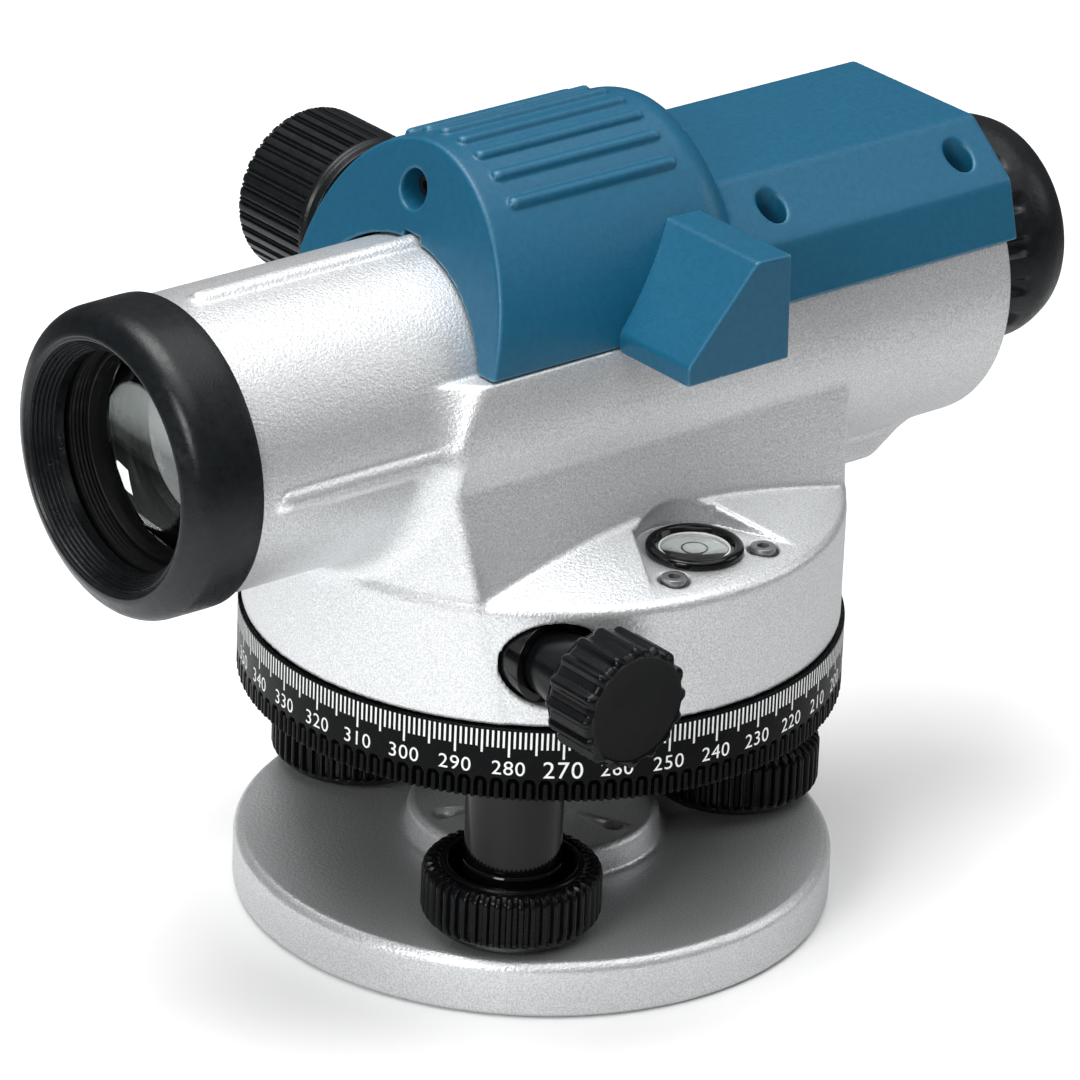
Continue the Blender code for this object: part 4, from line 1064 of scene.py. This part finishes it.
def build_focus_knob():
    """A deep rubber-faced knob with paired grooves between wide lands."""
    radius, back, face = 15.3, low_of("focus_knob", "y"), high_of("focus_knob", "y")
    corners = [
        (0.0, 50.6, 0), (2.4, 50.6, 0), (2.4, back + 2.1, 0.2), (13.2, back + 2.1, 0.3), (13.9, back, 0.2),
        (14.7, back, 0.3), (14.8, back + 1.6, 0.2), (radius, back + 2.2, 0.3), (radius, face - 0.9, 0.8),
        (radius - 1.3, face, 0.6), (11.6, face, 0.5), (11.2, face - 0.6, 0.3), (0.0, face - 0.9, 0),
    ]

    def relief(radii, along, angle):
        side = between(along, back + 3.2, face - 0.2, 0.4) * ease(radii, radius - 1.6, radius - 0.5)
        turn = (angle * 36 / (2 * math.pi)) % 1.0
        pair = np.minimum(np.abs(turn - 0.34), np.abs(turn - 0.66))
        return radii - 0.55 * (1 - ease(pair, 0.05, 0.13)) * side

    lathe("focus_knob_rubber", corners, "rubber", "focus_knob", "focus_knob", 36 * 18,
          (FOCUS[0], 0, FOCUS[2]), "Y", relief, longest=0.6)


def build_focus_collar():
    """The short bush that the focus knob's spindle comes out of."""
    corners = [(4.1, 26.5, 0.2), (4.1, 31.4, 0.3), (6.6, 31.4, 0.6), (7.6, 30.2, 0.4), (7.6, 26.5, 0.2)]
    lathe("focus_collar", corners, "plastic", "head", None, 96, (FOCUS[0], 0, FOCUS[2]), "Y")


# ---- eyepiece


def build_eye_guard():
    """The rubber eye guard, with soft finger flutes that fade towards the eye."""
    corners = [
        (12.5, 83.4, 0.3), (17.2, 83.4, 0.6), (19.3, 85.2, 1.2), (20.6, 92.0, 2.0), (21.2, 99.5, 2.5),
        (19.0, 104.6, 2.5), (15.6, 106.15, 1.2), (11.2, 106.15, 1.6), (7.2, 103.2, 1.2), (6.6, 102.0, 0.4),
        (6.6, 99.0, 0.3), (12.5, 99.0, 0.3),
    ]

    def relief(radii, along, angle):
        side = between(along, 84.0, 94.0, 1.2) * ease(radii, 16.5, 18.0)
        return radii - 1.5 * groove(angle, 16, 0.34, 0.5) * side

    lathe("eye_guard_rubber", corners, "soft_rubber", "eye_guard", "eye_guard", 16 * 16,
          SIGHT_LINE, "X", relief, longest=0.8)


def build_eyepiece_barrel():
    """The tube that the eyepiece and the reticle sit in, inside the guard."""
    corners = [(12.1, 60.0, 0.3), (12.1, 98.0, 0.4), (9.6, 98.0, 0.3), (9.6, 69.0, 0.2), (11.3, 69.0, 0.2),
               (11.3, 60.0, 0.2)]
    lathe("eyepiece_tube", corners, "dark", "head", "eyepiece_barrel", 128, SIGHT_LINE, "X")


# ---- circular bubble


def build_bubble():
    """The circular bubble: a black collar, a white rim, a pale backing, a ring mark and a clear vial."""
    place = upright_axis("bubble_housing")
    flange = POCKET_FLOOR + 0.3
    collar = [
        (7.0, 75.6, 0.2), (7.0, flange, 0.1), (8.6, flange, 0.2), (8.6, 80.8, 0.6), (7.9, 81.3, 0.5),
        (7.1, 81.2, 0.5), (6.35, 80.25, 0.2), (6.35, 77.4, 0.1), (5.0, 77.4, 0.1), (5.0, 75.6, 0.1),
    ]
    lathe("bubble_collar", collar, "gloss", "head", "bubble_housing", 128, place)
    rim = [(6.3, 77.5, 0), (6.3, 80.3, 0.1), (5.95, 80.35, 0.1), (5.95, 77.5, 0)]
    lathe("bubble_rim", rim, "ink", "head", None, 96, place)
    back = [(0.0, 77.45, 0), (5.9, 77.45, 0), (5.9, 79.3, 0.2), (5.6, 79.5, 0.2), (0.0, 79.5, 0)]
    lathe("bubble_backing", back, "vial_back", "head", None, 96, place)
    vial = [(0.0, 79.6, 0), (5.9, 79.6, 0.2), (5.9, 80.1, 0.2), (4.0, 80.45, 1.5), (0.0, 80.6, 0)]
    lathe("bubble_glass", vial, "glass", "head", "bubble_vial", 96, place)
    ring = [(2.35, 79.5, 0), (2.35, 79.56, 0), (2.05, 79.56, 0), (2.05, 79.5, 0)]
    lathe("bubble_ring_mark", ring, "gloss", "head", None, 96, place)


# ---- fine drive


def build_drive_knob(side):
    """A knob with rounded lobes, a rimmed dished face and a smooth tapering neck."""
    radius, face, bore, lobes = 11.3, 63.7, 2.7, 16
    back = face - 11.9
    corners = [
        (0.0, 58.4, 0), (bore, 58.4, 0), (bore, 38.0, 0), (5.5, 38.0, 0.3), (6.9, back - 3.2, 1.0),
        (7.3, back, 0.8), (radius - 1.0, back, 0.7), (radius, back + 1.1, 0.7), (radius, face - 0.9, 0.8),
        (radius - 0.9, face, 0.5), (radius - 1.5, face, 0.2), (radius - 1.9, face - 0.3, 0.3),
        (6.0, face - 0.5, 2.0), (0.0, face - 0.5, 0),
    ]

    def relief(radii, along, angle):
        side_share = ease(radii, 9.5, 10.6) * ease(along, back - 0.1, back + 0.5)
        return radii - 0.85 * groove(angle, lobes, 0.62, 0.5) * side_share

    axis = "-Y" if side == "near" else "Y"
    node = f"drive_knob_{side}"
    lathe(f"drive_grip_{side}", corners, "plastic", "fine_drive", node, lobes * 20,
          (DRIVE[0], 0, DRIVE[2]), axis, relief, longest=0.6)
    bush = [(7.6, 33.0, 0.2), (7.6, 40.5, 0.3), (6.0, 40.5, 0.3), (6.0, 33.0, 0.2)]
    lathe(f"drive_collar_{side}", bush, "gloss", "head", f"drive_bush_{side}", 96,
          (DRIVE[0], 0, DRIVE[2]), axis)


# ---- CAD pieces that stay


def numbered(name):
    return [f"{name}_{index + 1}" for index in range(FOOT_COUNT)]


KEPT = {
    "steel": [*numbered("spring_plate_screw"), *numbered("foot_swivel"), "spring_plate", "vertical_spindle",
              "spindle_nut", "drive_shaft", "damper_magnet"],
    "brass": [*numbered("foot_seat"), "axis_bush", "worm_wheel", "reticle_cell"],
    "dark": ["focus_pinion", "focus_cell", "compensator_frame", "pendulum_arm"],
    "glass": ["focusing_lens", "roof_prism", "pendulum_prism", "reticle_plate"],
    "mirror": ["bubble_mirror"],
}


def dress_kept_nodes():
    """Gives the CAD pieces that stay the looks that KEPT names."""
    for look, names in KEPT.items():
        for name in names:
            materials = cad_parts[name].data.materials
            materials.clear()
            materials.append(LOOKS[look][0])


# ---- stage, light and camera


FLOOR_HALF = 6.0
PALE, PALER = (0.86, 0.86, 0.86), (0.88, 0.88, 0.88)
REFLECTED_LEFT, REFLECTED_RIGHT = (0.88, 0.89, 0.90), (0.40, 0.405, 0.41)
REFLECTED_FAR = (0.10, 0.10, 0.105)
LAMPS = (  # name, place, width and watts
    ("top", (-0.15, 0.1, 1.1), 0.6, 7.5),
    ("left_front", (-1.0, -0.40, 0.55), 0.40, 6.5),
    ("right", (0.9, -0.5, 0.6), 0.5, 1.4),
)
LIT_POINT = (0.0, 0.0, 0.08)
SUN_STRENGTH, SUN_SPREAD = 2.3, math.radians(75.0)
SKY_LOW, SKY_HIGH = 0.05, 0.30
AZIMUTH, ELEVATION, ROLL = math.radians(-39.60), math.radians(24.62), math.radians(2.30)
DISTANCE, ASIDE, ABOVE, TARGET_HEIGHT = 1231.4, 0.10, -14.53, 51.2
LENS, SENSOR = 230.4, 36.0


def floor_material():
    """Pale to the eye; to glossy rays it shows a painted reflection, lighter towards -X than +X near the
    instrument and dark away from it, as if dark cloths stood round it.
    """
    r = Recipe("pale_floor", Roughness=0.6, Specular_IOR_Level=0.2)
    pale = r.patches(300.0, 0.3, 0.7, 1.0, PALE, PALER)
    away = r.nodes.new("ShaderNodeVectorMath")
    away.operation = "LENGTH"
    r.links.new(r.place, away.inputs[0])
    split = r.nodes.new("ShaderNodeSeparateXYZ")
    r.links.new(r.place, split.inputs[0])
    # painted reflection: the near floor that glossy surfaces show is lighter towards -X than towards +X
    near = r.mix(r.levels(split.outputs["X"], -0.15, 0.08, 0.0, 1.0), REFLECTED_LEFT, REFLECTED_RIGHT)
    reflected = r.mix(r.levels(away.outputs["Value"], 0.24, 0.50, 0.0, 1.0), near, REFLECTED_FAR)
    glossy = r.nodes.new("ShaderNodeLightPath").outputs["Is Glossy Ray"]
    r.colour(r.mix(glossy, pale, reflected))
    return r.material


def build_floor():
    data = bpy.data.meshes.new("floor")
    corners = [(x * FLOOR_HALF, y * FLOOR_HALF, 0) for x, y in ((-1, -1), (1, -1), (1, 1), (-1, 1))]
    data.from_pydata(corners, [], [(0, 1, 2, 3)])
    data.materials.append(floor_material())
    add_to_scene("floor", data)


def add_lamp(name, place, width, watts):
    """A square soft box that faces the instrument."""
    lamp = bpy.data.lights.new(name, "AREA")
    lamp.size, lamp.energy = width, watts
    holder = add_to_scene(name, lamp)
    holder.location = place
    direction = Vector(LIT_POINT) - Vector(place)
    holder.rotation_euler = direction.to_track_quat("-Z", "Y").to_euler()


def build_light():
    """Soft boxes, a very soft even light from above that keeps the floor pale, and a dim sky."""
    world = bpy.data.worlds.new("studio")
    world.use_nodes = True
    nodes, links = world.node_tree.nodes, world.node_tree.links
    place = nodes.new("ShaderNodeTexCoord")
    split = nodes.new("ShaderNodeSeparateXYZ")
    levels = nodes.new("ShaderNodeMapRange")
    links.new(place.outputs["Generated"], split.inputs[0])
    links.new(split.outputs["Z"], levels.inputs["Value"])
    set_levels(levels, 0.0, 0.9, SKY_LOW, SKY_HIGH)
    links.new(levels.outputs["Result"], nodes["Background"].inputs["Strength"])
    nodes["Background"].inputs["Color"].default_value = (1.0, 1.0, 1.0, 1.0)
    bpy.context.scene.world = world
    for lamp in LAMPS:
        add_lamp(*lamp)
    sun = bpy.data.lights.new("overhead", "SUN")
    sun.energy, sun.angle = SUN_STRENGTH, SUN_SPREAD
    add_to_scene("overhead", sun)


def build_camera():
    """A long lens that looks down on the instrument from its objective's side, rolled slightly."""
    level = Vector((math.sin(AZIMUTH), -math.cos(AZIMUTH), 0.0))
    back = level * math.cos(ELEVATION) + Vector((0, 0, math.sin(ELEVATION)))
    right = Vector((math.cos(AZIMUTH), math.sin(AZIMUTH), 0.0))
    up = back.cross(right)
    turned_right = right * math.cos(ROLL) + up * math.sin(ROLL)
    turned_up = up * math.cos(ROLL) - right * math.sin(ROLL)
    target = Vector((AXIS_X, 0, TARGET_HEIGHT))
    place = back * DISTANCE - turned_right * ASIDE - turned_up * ABOVE + target
    lens = bpy.data.cameras.new("camera")
    lens.sensor_width, lens.lens, lens.clip_end = SENSOR, LENS, 20.0
    camera = add_to_scene("camera", lens)
    turn = Matrix((turned_right, turned_up, back)).transposed()
    camera.matrix_world = Matrix.Translation(place * MM) @ turn.to_4x4()
    bpy.context.scene.camera = camera


# ---- assembly


def build_all():
    build_base_plate()
    for index in range(FOOT_COUNT):
        build_foot_knob(index)
        build_foot_sleeve(index)
    build_tribrach()
    build_circle()
    build_ticks()
    build_figures()
    build_housing()
    build_cover()
    build_hood()
    build_screws()
    build_objective_hood()
    build_objective_cell()
    build_lenses()
    build_focus_knob()
    build_focus_collar()
    build_eye_guard()
    build_eyepiece_barrel()
    build_bubble()
    build_drive_knob("near")
    build_drive_knob("far")
    dress_kept_nodes()
    build_floor()
    build_light()
    build_camera()


build_all()
bpy.context.scene.view_settings.view_transform = "Standard"
